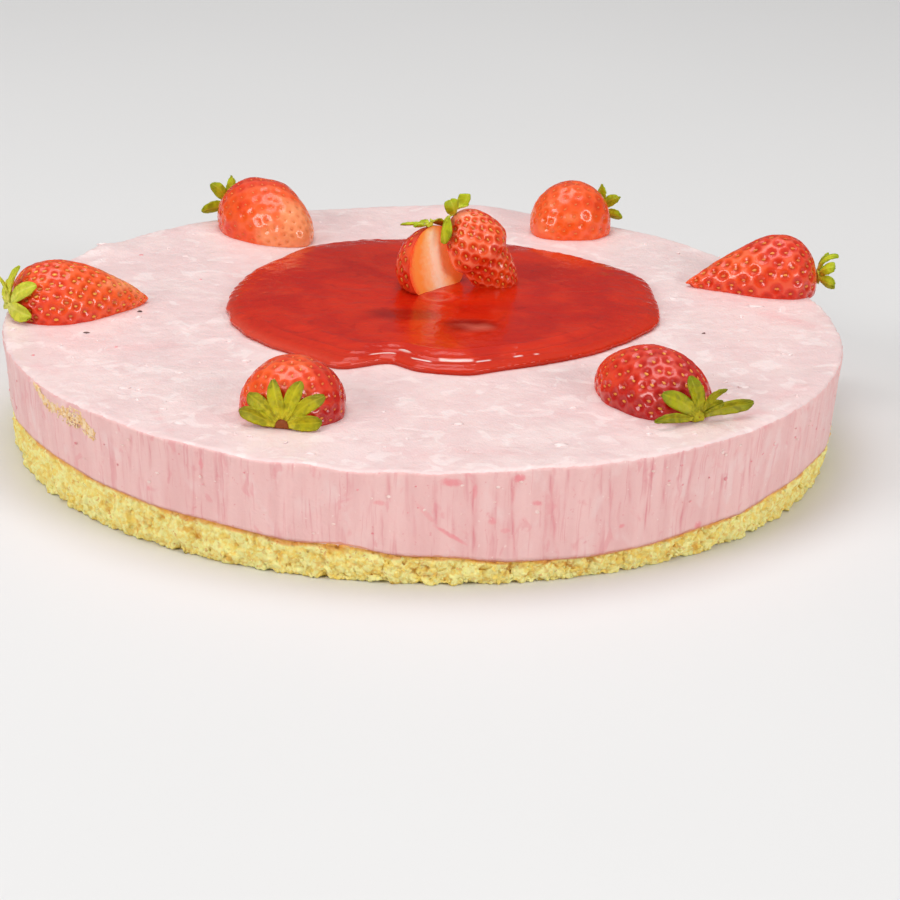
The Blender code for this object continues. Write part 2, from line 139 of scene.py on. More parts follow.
# Strokes of fruit drawn through the top: start x and y, end x and y, half width and strength
TOP_BLUSH = (
    (-0.1020, -0.0440, -0.0960, -0.0500, 0.0012, 0.35), (-0.0818, -0.0279, -0.0677, -0.0241, 0.0030, 0.25),
    (-0.0676, -0.0761, -0.0645, -0.0849, 0.0006, 0.45), (-0.0645, -0.0849, -0.0611, -0.0927, 0.0006, 0.40),
    (0.0960, 0.0180, 0.1080, 0.0080, 0.0030, 0.40), (0.0930, -0.0520, 0.1000, -0.0440, 0.0022, 0.30),
    (0.0820, -0.0700, 0.0880, -0.0640, 0.0016, 0.60), (-0.0480, 0.0080, -0.0420, -0.0050, 0.0030, 0.15),
    (0.0100, -0.0990, 0.0300, -0.1010, 0.0030, 0.22), (-0.0060, -0.1010, 0.0020, -0.1040, 0.0020, 0.22),
    (0.0560, 0.0120, 0.0620, 0.0080, 0.0014, 0.25), (-0.0990, 0.0100, -0.0900, 0.0040, 0.0030, 0.20),
    (0.0300, -0.0720, 0.0440, -0.0690, 0.0024, 0.14), (-0.0900, -0.0300, -0.0980, -0.0150, 0.0030, 0.14),
)
# Soft fruit blots in the side: angle, height, half length, half width, tilt in degrees, strength
SIDE_BLOTS = (
    (-85.6, 0.0286, 0.0024, 0.0010, -8, 0.9), (-77.2, 0.0293, 0.0014, 0.0009, 0, 1.0),
    (-74.7, 0.0222, 0.0012, 0.0006, -10, 0.8), (-50.6, 0.0086, 0.0011, 0.0010, 30, 1.0),
    (-62.9, 0.0133, 0.0007, 0.0005, 0, 0.8), (-82.6, 0.0262, 0.0005, 0.0016, 0, 0.6),
    (-80.3, 0.0180, 0.0009, 0.0008, 0, 0.7), (-78.6, 0.0152, 0.0011, 0.0006, 0, 0.5),
    (-94.3, 0.0225, 0.0013, 0.0006, 0, 0.6), (-117.9, 0.0265, 0.0006, 0.0014, 0, 0.7),
    (-126.5, 0.0158, 0.0005, 0.0006, 0, 0.6), (-85.5, 0.0143, 0.0040, 0.0005, -33, 0.8),
    (-88.5, 0.0200, 0.0034, 0.0006, -48, 0.4), (-36.7, 0.0244, 0.0005, 0.0006, 0, 0.8),
)
# Bits in the surface. On the side: angle, height, length and width. On the top: x, y, length, width.
SIDE_CREAM_SPECKS = (
    (-76.9, 0.0283, 0.0014, 0.0006), (-74.6, 0.0198, 0.0011, 0.0010), (-79.7, 0.0272, 0.0012, 0.0008),
    (-86.5, 0.0132, 0.0013, 0.0006), (-47.0, 0.0267, 0.0012, 0.0008), (-130.5, 0.0257, 0.0012, 0.0007),
)
TOP_SEED_SPECKS = (
    (-0.0910, -0.0160, 0.0019, 0.0007), (0.0769, -0.0011, 0.0010, 0.0008),
    (-0.0784, 0.0040, 0.0011, 0.0007),
)
TOP_FRUIT_BITS = (
    (-0.0833, 0.0566, 0.0020, 0.0022), (-0.0819, -0.0271, 0.0012, 0.0014),
    (-0.1031, -0.0357, 0.0010, 0.0018), (0.0431, -0.0330, 0.0009, 0.0006),
    (-0.0640, 0.0350, 0.0008, 0.0006),
)
# Line of base crumbs dragged over the side by the tin: angle and height
CRUMB_SMEAR = ((-150.5, 0.0304), (-147.5, 0.0277), (-144.0, 0.0276), (-140.9, 0.0275),
               (-138.6, 0.0282), (-137.4, 0.0262), (-136.2, 0.0252))

JELLY_STEPS = 1000
JELLY_PULP = 70
# Dents in the jelly, from its centre: x, y, half width, half length and depth. The first two are darkened
# with a painted dark reflection.
JELLY_DENTS = (
    (-0.0112, -0.0179, 0.0053, 0.0106, 0.00016), (0.0072, -0.0256, 0.0055, 0.0080, 0.00022),
    (-0.0250, 0.0050, 0.0022, 0.0040, 0.00022), (0.0280, -0.0120, 0.0020, 0.0036, 0.00022),
    (-0.0385, -0.0330, 0.0018, 0.0036, 0.00030), (0.0400, 0.0090, 0.0016, 0.0040, 0.00020),
)
DENT_PAINTED_DARK_REFLECTION = (0.70, 1.0)
# Round ripple in the jelly, with a painted highlight along it: x, y and radius.
# Pale shine in it, a painted reflection: x, y, half length and half width.
JELLY_RIPPLE = (-0.0018, -0.0018, 0.0042)
JELLY_PAINTED_SHINE = (0.0078, -0.0262, 0.0050, 0.0022)
# Painted glints, bright highlights laid into the colour along the jelly's front edge: start and end angle,
# and share of its radius
JELLY_PAINTED_GLINTS = (
    (-111.0, -104.6, 0.937), (-104.0, -99.8, 0.890), (-99.0, -93.2, 0.937), (-90.8, -81.2, 0.915),
    (-80.2, -76.0, 0.932), (-68.2, -65.6, 0.932), (-61.4, -60.2, 0.937),
)

# Strawberries, placed as the solids are. ripe runs from 0, orange red, to 1, crimson, at the calyx
# and the tip, and ripening says between which shares of the length it changes. shade is painted
# shade near the foot, laid in as riper colour, redder is painted shade between two x, laid in the
# same way, and netted is a painted highlight, paler between the dimples. dimpled, open and seeds
# scale the depth and spacing of the dimples and the size of the seeds, and dull browns the seeds.
# A leaf has a direction in degrees, a length, a half width and a bend in radians. round, rumpled
# and twist shape the leaves, knob is the radius of what they grow from and scar how much of it is
# brown.
RIM_BERRIES = {
    "left": {
        "calyx": (-0.1125, -0.0030), "tip": (-0.0770, 0.0127), "raised": 0.0023,
        "width": 0.0123, "height": 0.0124, "widest": 0.30, "blunt": 0.78,
        "ripe": (0.22, -0.30), "shade": 0.30, "painted_net_highlight": 0.15, "round": 0.7, "scar": 0.05,
        "leaves": ((-8, 0.0065, 0.0016, 0.5), (38, 0.0080, 0.0016, 0.4), (80, 0.0100, 0.0012, -0.6),
                   (102, 0.0110, 0.0016, 0.2), (134, 0.0085, 0.0018, 0.9), (172, 0.0070, 0.0022, 0.8)),
    },
    "back_left": {
        "calyx": (-0.0588, 0.0965), "tip": (-0.0362, 0.0692), "raised": 0.0040,
        "width": 0.0123, "height": 0.0124, "widest": 0.42, "blunt": 0.52,
        "ripe": (0.25, -0.50), "ripening": (0.42, 1.0),
        "dimpled": 0.45, "seeds": 0.7, "open": 1.12, "dull": 0.8,
        "leaves": ((-10, 0.0070, 0.0018, -0.3), (40, 0.0070, 0.0018, -0.5), (88, 0.0070, 0.0018, -0.6),
                   (136, 0.0080, 0.0019, -0.4), (185, 0.0085, 0.0019, -0.3)),
    },
    "front_left": {
        "calyx": (-0.0340, -0.0868), "tip": (-0.0295, -0.0535), "raised": 0.0008,
        "width": 0.0136, "height": 0.0132, "widest": 0.38, "blunt": 0.62,
        "ripe": (0.15, 0.32), "shade": 0.30, "painted_side_shade": (-0.0310, -0.0220, 0.50),
        "dimpled": 0.7, "seeds": 0.85, "open": 1.15, "dull": 0.65,
        "round": 0.75, "scar": 1.25, "knob": 0.0027,
        "leaves": ((10, 0.0105, 0.0020, 0.3), (38, 0.0075, 0.0018, 0.9), (76, 0.0095, 0.0019, 0.5),
                   (112, 0.0085, 0.0018, 0.7), (141, 0.0100, 0.0019, 0.6), (170, 0.0085, 0.0022, 0.3)),
    },
    "front_right": {
        "calyx": (0.0710, -0.0722), "tip": (0.0485, -0.0400), "raised": 0.0010,
        "width": 0.0128, "height": 0.0129, "widest": 0.44, "blunt": 0.56,
        "ripe": (0.80, 0.26), "shade": 0.35, "painted_net_highlight": 0.12,
        "open": 1.18, "dull": 0.30, "round": 0.7, "scar": 0.2,
        "leaves": ((3, 0.0118, 0.0013, 0.1), (40, 0.0085, 0.0022, 1.0), (84, 0.0095, 0.0021, 0.3),
                   (122, 0.0095, 0.0012, -0.7), (150, 0.0060, 0.0015, -0.5), (168, 0.0140, 0.0019, -0.2)),
    },
    "right": {
        "calyx": (0.1115, 0.0450), "tip": (0.0742, 0.0418), "raised": 0.0028,
        "width": 0.0124, "height": 0.0126, "widest": 0.27, "blunt": 0.92,
        "ripe": (0.45, 0.05), "shade": 0.25, "painted_net_highlight": 0.30,
        "open": 1.25, "dull": 0.5, "round": 0.6,
        "leaves": ((-6, 0.0065, 0.0019, -1.1), (42, 0.0065, 0.0018, -1.2), (90, 0.0085, 0.0019, -1.4),
                   (138, 0.0070, 0.0018, -1.0), (184, 0.0065, 0.0019, -0.8)),
    },
    "back_right": {
        "calyx": (0.0508, 0.1022), "tip": (0.0325, 0.0858), "raised": 0.0038,
        "width": 0.0118, "height": 0.0122, "widest": 0.44, "blunt": 0.50, "ripe": (0.20, -0.08),
        "dimpled": 0.5, "seeds": 0.7, "open": 1.12, "dull": 0.8,
        "leaves": ((-8, 0.0065, 0.0016, -0.4), (42, 0.0070, 0.0017, -0.6), (92, 0.0065, 0.0018, -0.3),
                   (138, 0.0065, 0.0018, -0.5), (184, 0.0065, 0.0018, -0.6)),
    },
}
CENTRE_BERRIES = {
    "centre_left": {
        "calyx": (0.0010, 0.0230, 0.0525), "foot": (0.0044, 0.0215, 0.0349),
        "full_length": 0.0252, "bulge": (-0.77, 0.64, 0.0),
        "width": 0.0115, "height": 0.0113, "widest": 0.46, "blunt": 0.52, "ripe": (0.35, 0.30),
        "dull": 0.2, "round": 0.85, "scar": 0.02, "knob": 0.0014, "rumpled": 0.4,
        "leaves": ((6, 0.0040, 0.0012, -0.5), (58, 0.0066, 0.0012, -0.2), (112, 0.0062, 0.0016, 0.2),
                   (168, 0.0060, 0.0021, 1.2)),
    },
    "centre_right": {
        "calyx": (0.0075, 0.0265, 0.0552), "foot": (0.0205, 0.0290, 0.0349),
        "full_length": 0.0310, "bulge": (0.62, -0.74, 0.25),
        "width": 0.0099, "height": 0.0106, "widest": 0.46, "blunt": 0.50, "ripe": (0.22, 0.34),
        "painted_net_highlight": 0.95, "dull": 0.15, "seeds": 0.9,
        "round": 0.9, "scar": 0.02, "knob": 0.0014, "rumpled": 0.4, "twist": (75, 0, 0),
        "leaves": ((30, 0.0066, 0.0021, -0.9), (110, 0.0066, 0.0021, -1.9), (172, 0.0066, 0.0025, 1.6)),
    },
}

# Skin of a strawberry: seeds in dimples, in a spiral
SEED_SPACING = (0.0019, 0.0034)
DIMPLE_DEPTH = 0.00050
DIMPLE_REACH = 0.50
USUAL_REACH = 0.0015
SEED_SIZE = (0.00064, 0.00037, 0.00024)
BERRY_RINGS = 120
FOOT_DRAWN_IN = 0.22
GOLDEN_ANGLE = math.radians(137.508)

# Leaves of a calyx: share of the length, share of the half width
LEAF_OUTLINE = ((0.0, 0.42), (0.2, 0.80), (0.4, 1.0), (0.6, 0.92), (0.78, 0.66), (0.92, 0.28), (1.0, 0.02))
ROUND_OUTLINE = ((0.0, 0.36), (0.2, 0.62), (0.4, 0.88), (0.6, 1.0), (0.78, 0.96), (0.92, 0.70), (1.0, 0.22))
LEAF_COLUMNS = 9
KNOB_RADIUS = 0.0021
BOX_MARGIN = 0.0003
LEAF_THICKNESS = 0.0004

# Colours from 0 to 255, as a screen shows them
COLOURS = {
    "crumb": (250, 218, 112), "light_crumb": (255, 247, 168), "tan_patch": (244, 198, 98),
    "crumb_gap_painted_shade": (228, 164, 56), "crumb_fleck": (224, 150, 74), "deep_pocket_painted_shade": (216, 144, 40),
    "soaked_crumb": (232, 142, 58), "top": (236, 207, 205), "top_pale": (240, 215, 212),
    "top_stroke": (233, 196, 195), "top_patch": (248, 230, 227), "top_grey": (226, 196, 196),
    "top_blush": (236, 178, 178), "side": (235, 185, 182), "side_band": (241, 196, 192),
    "side_pale": (241, 207, 203), "side_rosy": (232, 156, 159), "side_thread": (226, 148, 152),
    "side_streak": (222, 130, 137), "side_blot": (237, 138, 144), "side_speckle": (226, 140, 144),
    "side_fleck": (249, 222, 216), "side_soaked": (228, 144, 108), "jelly_deep": (190, 27, 8),
    "jelly_cloud": (210, 42, 10), "jelly_pulp": (150, 16, 8), "jelly_painted_dark_reflection": (132, 14, 10),
    "jelly_thin": (198, 41, 7), "jelly_pale_and_painted_shine": (236, 124, 104), "jelly_painted_glint": (255, 244, 238),
    "skin_unripe": (254, 153, 98), "skin_orange": (249, 91, 24), "skin_red": (226, 50, 18),
    "skin_crimson": (182, 18, 18), "skin_pit_painted_shade": (176, 30, 8), "skin_net_painted_highlight": (255, 142, 104),
    "flesh_painted_glow": (255, 138, 66), "flesh_core": (255, 236, 208), "flesh_pale": (255, 200, 144),
    "flesh_orange": (255, 150, 62), "flesh_rim": (244, 74, 30), "seed_gold": (242, 176, 66),
    "seed_brown": (206, 118, 40), "seed_dull": (232, 112, 50), "leaf_scar": (150, 78, 34),
    "floor": (224, 223, 222), "floor_pale": (230, 229, 228),
}
# Small bits, each kind in two close colours
BIT_COLOURS = {
    "crumb_smear": ((247, 220, 184), (240, 196, 132)), "fruit_bits": ((240, 164, 166), (234, 146, 150)),
    "cream_specks": ((249, 220, 214), (243, 204, 196)), "cream_dabs": ((246, 227, 224), (243, 219, 216)),
    "seed_specks": ((120, 84, 78), (84, 56, 52)),
}
# Leaves from root through blade to tip, and their shade
LEAF_COLOURS = {
    "bright": ((216, 218, 70), (186, 198, 26), (156, 172, 12), (124, 138, 4)),
    "pale": ((232, 226, 104), (212, 210, 66), (182, 192, 40), (158, 164, 26)),
    "olive": ((212, 198, 40), (184, 174, 10), (136, 134, 4), (112, 108, 0)),
    "dark": ((190, 182, 30), (164, 160, 6), (128, 136, 4), (98, 98, 0)),
}
LEAF_KINDS = {"front_right": "dark", "front_left": "olive", "left": "pale"}


def smooth_step(value, start, end):
    """0 before start, 1 after end and an even S between them."""
    share = np.clip((value - start) / (end - start), 0.0, 1.0)
    return share * share * (3.0 - 2.0 * share)


def hump(angle, centre, spread):
    """A bell of height 1 round the cake, with its centre and spread in degrees."""
    away = (angle - centre + 180.0) % 360.0 - 180.0
    return np.exp(-0.5 * (away / spread) ** 2)


def noise_at(points, size, seed=0.0):
    """Smooth noise from -1 to 1 at an array of points, with lumps of that size."""
    points = np.asarray(points)
    places = (points.reshape(-1, 3) / size + seed).tolist()
    return np.array([noise.noise(place) for place in places]).reshape(points.shape[:-1])


def round_noise(angle, waves, seed):
    """Smooth noise from -1 to 1 that closes round the cake, with about that many waves."""
    turn = np.radians(angle)
    reach = waves / math.tau
    points = np.stack([reach * np.cos(turn), reach * np.sin(turn), np.full_like(turn, seed)], -1)
    return noise_at(points, 1.0)


def seam_height(angle):
    """Height of the base's top at the outside."""
    return (SEAM_HEIGHT + 0.0032 * hump(angle, -147, 22) - 0.0036 * hump(angle, -68, 18)
            + 0.0010 * hump(angle, 60, 25) - 0.0012 * hump(angle, 120, 20))


def seam_edge(angle):
    """How far the filling's lower edge leaves the seam's even line."""
    return 0.0011 * hump(angle, -99, 3) + 0.0010 * round_noise(angle, 38, 3.1)


def lip_height(angle):
    """How far the rim of the top stands above or below its general level."""
    high = (0.0015 * hump(angle, 84, 6) + 0.0009 * hump(angle, 146.3, 1.8)
            + 0.0005 * hump(angle, -75, 6) + 0.0005 * hump(angle, -135, 4))
    low = (0.0011 * hump(angle, 38, 7) + 0.0007 * hump(angle, -98, 2.5)
           + 0.0006 * hump(angle, -111, 3) + 0.0004 * hump(angle, -88, 2))
    return high - low + 0.0002 * round_noise(angle, 45, 8.4)


def jelly_outline(angle):
    """Radius of the jelly pool."""
    shape = (-0.0056 * hump(angle, -58, 27) + 0.0035 * hump(angle, -116, 4)
             - 0.0070 * hump(angle, -106, 5.5) + 0.0015 * hump(angle, -82, 5)
             + 0.0012 * hump(angle, -9, 6) + 0.0032 * hump(angle, 28, 9)
             + 0.0038 * hump(angle, 124, 13) + 0.0018 * hump(angle, -152, 12))
    return JELLY_RADIUS + shape + 0.0007 * round_noise(angle, 30, 5.7)


def seam_surface(radius, rim_height):
    """The level where base and filling meet, from the seam's height at the rim."""
    share = smooth_step(radius, SEAM_LEVEL_RADIUS, SEAM_BAND_RADIUS)
    return SEAM_HEIGHT + share * (rim_height - SEAM_HEIGHT)


def wall_radius(height):
    """Radius of the tin's leaning wall."""
    return FOOT_RADIUS + (RIM_RADIUS - FOOT_RADIUS) * height / CAKE_HEIGHT


def smooth_curve(points, between):
    """A Catmull-Rom curve through points, with that many new ones between each pair."""
    points = np.asarray(points, dtype=float)
    padded = np.vstack([2 * points[0] - points[1], points, 2 * points[-1] - points[-2]])
    t = np.linspace(0.0, 1.0, between + 1, endpoint=False)[:, None]
    pieces = []
    for before, start, end, after in zip(padded, padded[1:], padded[2:], padded[3:]):
        square = 2 * before - 5 * start + 4 * end - after
        cube = 3 * start - before - 3 * end + after
        pieces.append(0.5 * (2 * start + (end - before) * t + square * t ** 2 + cube * t ** 3))
    return np.vstack([*pieces, points[-1:]])


def ring_angles(steps):
    """Even angles round the cake in degrees."""
    return np.arange(steps) * 360.0 / steps


def around(radius, turn, height):
    """Points at a radius and height for each turn round the cake."""
    return np.stack(np.broadcast_arrays(radius * np.cos(turn), radius * np.sin(turn), height), -1)


def ring_faces(rows, columns):
    """Four-sided faces of a grid of points whose columns close into rings."""
    row = np.arange(rows - 1)[:, None]
    column = np.arange(columns)[None, :]
    after = (column + 1) % columns
    corners = (row * columns + column, (row + 1) * columns + column,
               (row + 1) * columns + after, row * columns + after)
    return np.stack(corners, -1).reshape(-1, 4).tolist()


def closed_rings(name, rings):
    """A closed mesh from rings of points (ring, step, xyz), top down, with a point at each end."""
    count, steps = rings.shape[:2]
    points = np.vstack([rings.reshape(-1, 3), rings[0].mean(0), rings[-1].mean(0)])
    faces = ring_faces(count, steps)
    upper, lower = count * steps, count * steps + 1
    last = (count - 1) * steps
    for step in range(steps):
        after = (step + 1) % steps
        faces.append([upper, step, after])
        faces.append([lower, last + after, last + step])
    mesh = bpy.data.meshes.new(name)
    mesh.from_pydata(points.tolist(), [], faces)
    return mesh


def add_attribute(mesh, name, values):
    """One number for each point of the mesh, for its material."""
    filled = np.zeros(len(mesh.vertices), dtype=np.float32)
    values = np.asarray(values, dtype=np.float32).ravel()
    filled[:len(values)] = values
    layer = mesh.attributes.new(name, "FLOAT", "POINT")
    layer.data.foreach_set("value", filled)


def points_of(mesh, what="co"):
    """The mesh's points, or normals, as an array."""
    values = np.empty(3 * len(mesh.vertices))
    if what == "co":
        mesh.vertices.foreach_get("co", values)
    else:
        mesh.vertex_normals.foreach_get("vector", values)
    return values.reshape(-1, 3)


def add_piece(name, mesh, materials, slot, *nodes):
    """Put a mesh into the scene as a piece of the cake that may stand for nodes of the model."""
    mesh.shade_smooth()
    piece = bpy.data.objects.new(name, mesh)
    bpy.context.scene.collection.objects.link(piece)
    for material in materials:
        mesh.materials.append(material)
    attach(piece, "root")
    if nodes:
        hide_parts(*nodes)
    return piece


def linear(red, green, blue):
    """A colour given from 0 to 255 as a screen shows it, as linear shares with an alpha of 1."""
    shares = [value / 255.0 for value in (red, green, blue)]
    return (*[share / 12.92 if share <= 0.04045 else ((share + 0.055) / 1.055) ** 2.4
              for share in shares], 1.0)


def tint(name):
    """A named colour as a material takes it."""
    return linear(*COLOURS[name])


class Look:
    """A Principled material with short calls for its nodes."""

    def __init__(self, name, **sockets):
        self.material = bpy.data.materials.new(name)
        self.material.use_nodes = True
        self.tree = self.material.node_tree
        self.shader = self.tree.nodes["Principled BSDF"]
        for socket, value in sockets.items():
            self.shader.inputs[socket.replace("_", " ")].default_value = value
        self.place = self.tree.nodes.new("ShaderNodeTexCoord").outputs["Object"]

    def plug(self, value, socket):
        """Set a socket, or link another node's output to it."""
        if isinstance(value, bpy.types.NodeSocket):
            self.tree.links.new(value, socket)
        else:
            socket.default_value = value

    def attribute(self, name):
        node = self.tree.nodes.new("ShaderNodeAttribute")
        node.attribute_name = name
        return node.outputs["Fac"]

    def noise(self, size, detail=3.0, distortion=0.0, place=None):
        """Noise from 0 to 1 with lumps of a size in metres."""
        node = self.tree.nodes.new("ShaderNodeTexNoise")
        node.inputs["Scale"].default_value = 1.0 / size
        node.inputs["Detail"].default_value = detail
        node.inputs["Distortion"].default_value = distortion
        self.plug(place or self.place, node.inputs["Vector"])
        return node.outputs["Fac"]

    def unrolled(self, upright, sway=0.0):
        """The place on the side laid out flat, with its height scaled. The join is at the back."""
        split = self.tree.nodes.new("ShaderNodeSeparateXYZ")
        self.plug(self.place, split.inputs[0])
        front = self.math("MULTIPLY", split.outputs["Y"], -1.0)
        turn = self.math("ARCTAN2", split.outputs["X"], front)
        flat = self.tree.nodes.new("ShaderNodeCombineXYZ")
        aside = self.math("MULTIPLY", self.noise(0.009, 2.0), sway)
        self.plug(self.math("ADD", self.math("MULTIPLY", turn, RIM_RADIUS), aside), flat.inputs["X"])
        self.plug(self.math("MULTIPLY", split.outputs["Z"], upright), flat.inputs["Y"])
        return flat.outputs["Vector"]

    def line(self, value, middle, width):
        """1 where a value passes the middle, fading out within the width."""
        away = self.math("ABSOLUTE", self.math("SUBTRACT", value, middle), 0.0)
        return self.range(away, 0.0, width, 1.0, 0.0)

    def over(self, under, share, strength, upper):
        """A colour laid over another by a share of a strength."""
        return self.mix(self.math("MULTIPLY", share, strength), under, upper)

    def roughened(self, value, spread, size, detail=3.0, distortion=0.0):
        """A value made uneven by noise, up or down by the spread."""
        uneven = self.range(self.noise(size, detail, distortion), 0.3, 0.7, -spread, spread)
        return self.math("ADD", value, uneven)

    def cells(self, size, uneven=0.6):
        """Crumbs of a size: nearness of each point to its crumb's edge, and a chance for each crumb."""
        warp = self.tree.nodes.new("ShaderNodeTexNoise")
        warp.inputs["Scale"].default_value = 1.0 / size
        warp.inputs["Detail"].default_value = 2.0
        self.plug(self.place, warp.inputs["Vector"])
        shift = self.tree.nodes.new("ShaderNodeVectorMath")
        shift.operation = "MULTIPLY_ADD"
        self.plug(warp.outputs["Color"], shift.inputs[0])
        shift.inputs[1].default_value = (uneven * size,) * 3
        self.plug(self.place, shift.inputs[2])
        node = self.tree.nodes.new("ShaderNodeTexVoronoi")
        node.inputs["Scale"].default_value = 1.0 / size
        self.plug(shift.outputs["Vector"], node.inputs["Vector"])
        split = self.tree.nodes.new("ShaderNodeSeparateColor")
        self.plug(node.outputs["Color"], split.inputs[0])
        return node.outputs["Distance"], split.outputs[0]

    def blots(self, table, place):
        """How strongly soft blots cover the side, from its place laid out flat."""
        ragged = self.range(self.noise(0.0009, 3.0), 0.3, 0.7, -0.4, 0.4)
        total = 0.0
        for angle, height, long, wide, tilt, strength in table:
            shift = self.tree.nodes.new("ShaderNodeVectorMath")
            shift.operation = "SUBTRACT"
            self.plug(place, shift.inputs[0])
            shift.inputs[1].default_value = (RIM_RADIUS * math.radians(angle + 90.0), height, 0.0)
            cos, sin = math.cos(math.radians(tilt)), math.sin(math.radians(tilt))
            away = ragged
            for way in ((cos / long, sin / long, 0.0), (-sin / wide, cos / wide, 0.0)):
                dot = self.tree.nodes.new("ShaderNodeVectorMath")
                dot.operation = "DOT_PRODUCT"
                self.plug(shift.outputs["Vector"], dot.inputs[0])
                dot.inputs[1].default_value = way
                square = self.math("MULTIPLY", dot.outputs["Value"], dot.outputs["Value"])
                away = self.math("ADD", away, square)
            total = self.math("MAXIMUM", total, self.range(away, 0.0, 2.2, 0.85 * strength, 0.0))
        return total

    def range(self, value, start, end, low=0.0, high=1.0):
        """low where value is under start, high where it is over end, and smooth between."""
        node = self.tree.nodes.new("ShaderNodeMapRange")
        node.interpolation_type = "SMOOTHSTEP"
        for socket, given in zip(node.inputs, (value, start, end, low, high)):
            self.plug(given, socket)
        return node.outputs["Result"]

    def math(self, operation, one, other):
        node = self.tree.nodes.new("ShaderNodeMath")
        node.operation = operation
        self.plug(one, node.inputs[0])
        self.plug(other, node.inputs[1])
        return node.outputs["Value"]

    def sum(self, *parts):
        """Values added up, each times its weight."""
        total = 0.0
        for value, weight in parts:
            total = self.math("ADD", self.math("MULTIPLY", value, weight), total)
        return total

    def mix(self, share, one, other):
        """A colour between two."""
        node = self.tree.nodes.new("ShaderNodeMix")
        node.data_type = "RGBA"
        self.plug(share, node.inputs["Factor"])
        self.plug(one, node.inputs["A"])
        self.plug(other, node.inputs["B"])
        return node.outputs["Result"]

    def set(self, socket, value):
        self.plug(value, self.shader.inputs[socket])

    def bump(self, height, distance, strength=1.0):
        """Fine relief, with its depth in metres."""
        node = self.tree.nodes.new("ShaderNodeBump")
        node.inputs["Distance"].default_value = distance
        node.inputs["Strength"].default_value = strength
        self.plug(height, node.inputs["Height"])
        self.plug(node.outputs["Normal"], self.shader.inputs["Normal"])


def biscuit_look():
    """Pressed crumb: pale yellow, with painted amber shade between the crumbs and in the deep pockets, and
    soaked under the filling.
    """
    look = Look("biscuit", Roughness=0.85, Specular_IOR_Level=0.15, Subsurface_Weight=0.15,
                Subsurface_Scale=0.0010)
    look.shader.inputs["Subsurface Radius"].default_value = (1.0, 0.65, 0.25)
    near, chance = look.cells(0.0017)
    fine_near, fine_chance = look.cells(0.0008)
    tone = look.sum((look.attribute("tone"), 0.35), (chance, 0.35), (fine_chance, 0.30))
    crumb = look.mix(look.range(tone, 0.20, 0.70), tint("crumb"), tint("light_crumb"))
    crumb = look.mix(look.range(look.noise(0.0042, 3.0), 0.62, 0.72), crumb, tint("tan_patch"))
    # Painted shade: darker amber where each crumb meets the next.
    painted_gap_shade = look.range(near, 0.62, 0.90, 0.0, 0.40)
    crumb = look.mix(painted_gap_shade, crumb, tint("crumb_gap_painted_shade"))
    fleck = look.range(look.math("ADD", chance, fine_chance), 1.76, 1.86, 0.0, 0.6)
    crumb = look.mix(fleck, crumb, tint("crumb_fleck"))
    # Painted shade: darker amber in the recessed pockets.
    colour = look.mix(look.attribute("painted_pocket_shade"), crumb, tint("deep_pocket_painted_shade"))
    colour = look.mix(look.attribute("soak"), colour, tint("soaked_crumb"))
    look.set("Base Color", colour)
    look.bump(look.sum((chance, 0.7), (near, -0.6), (fine_chance, 0.35), (fine_near, -0.35),
                       (look.noise(0.0004, 3.0), 0.25)), 0.00038)
    return look.material


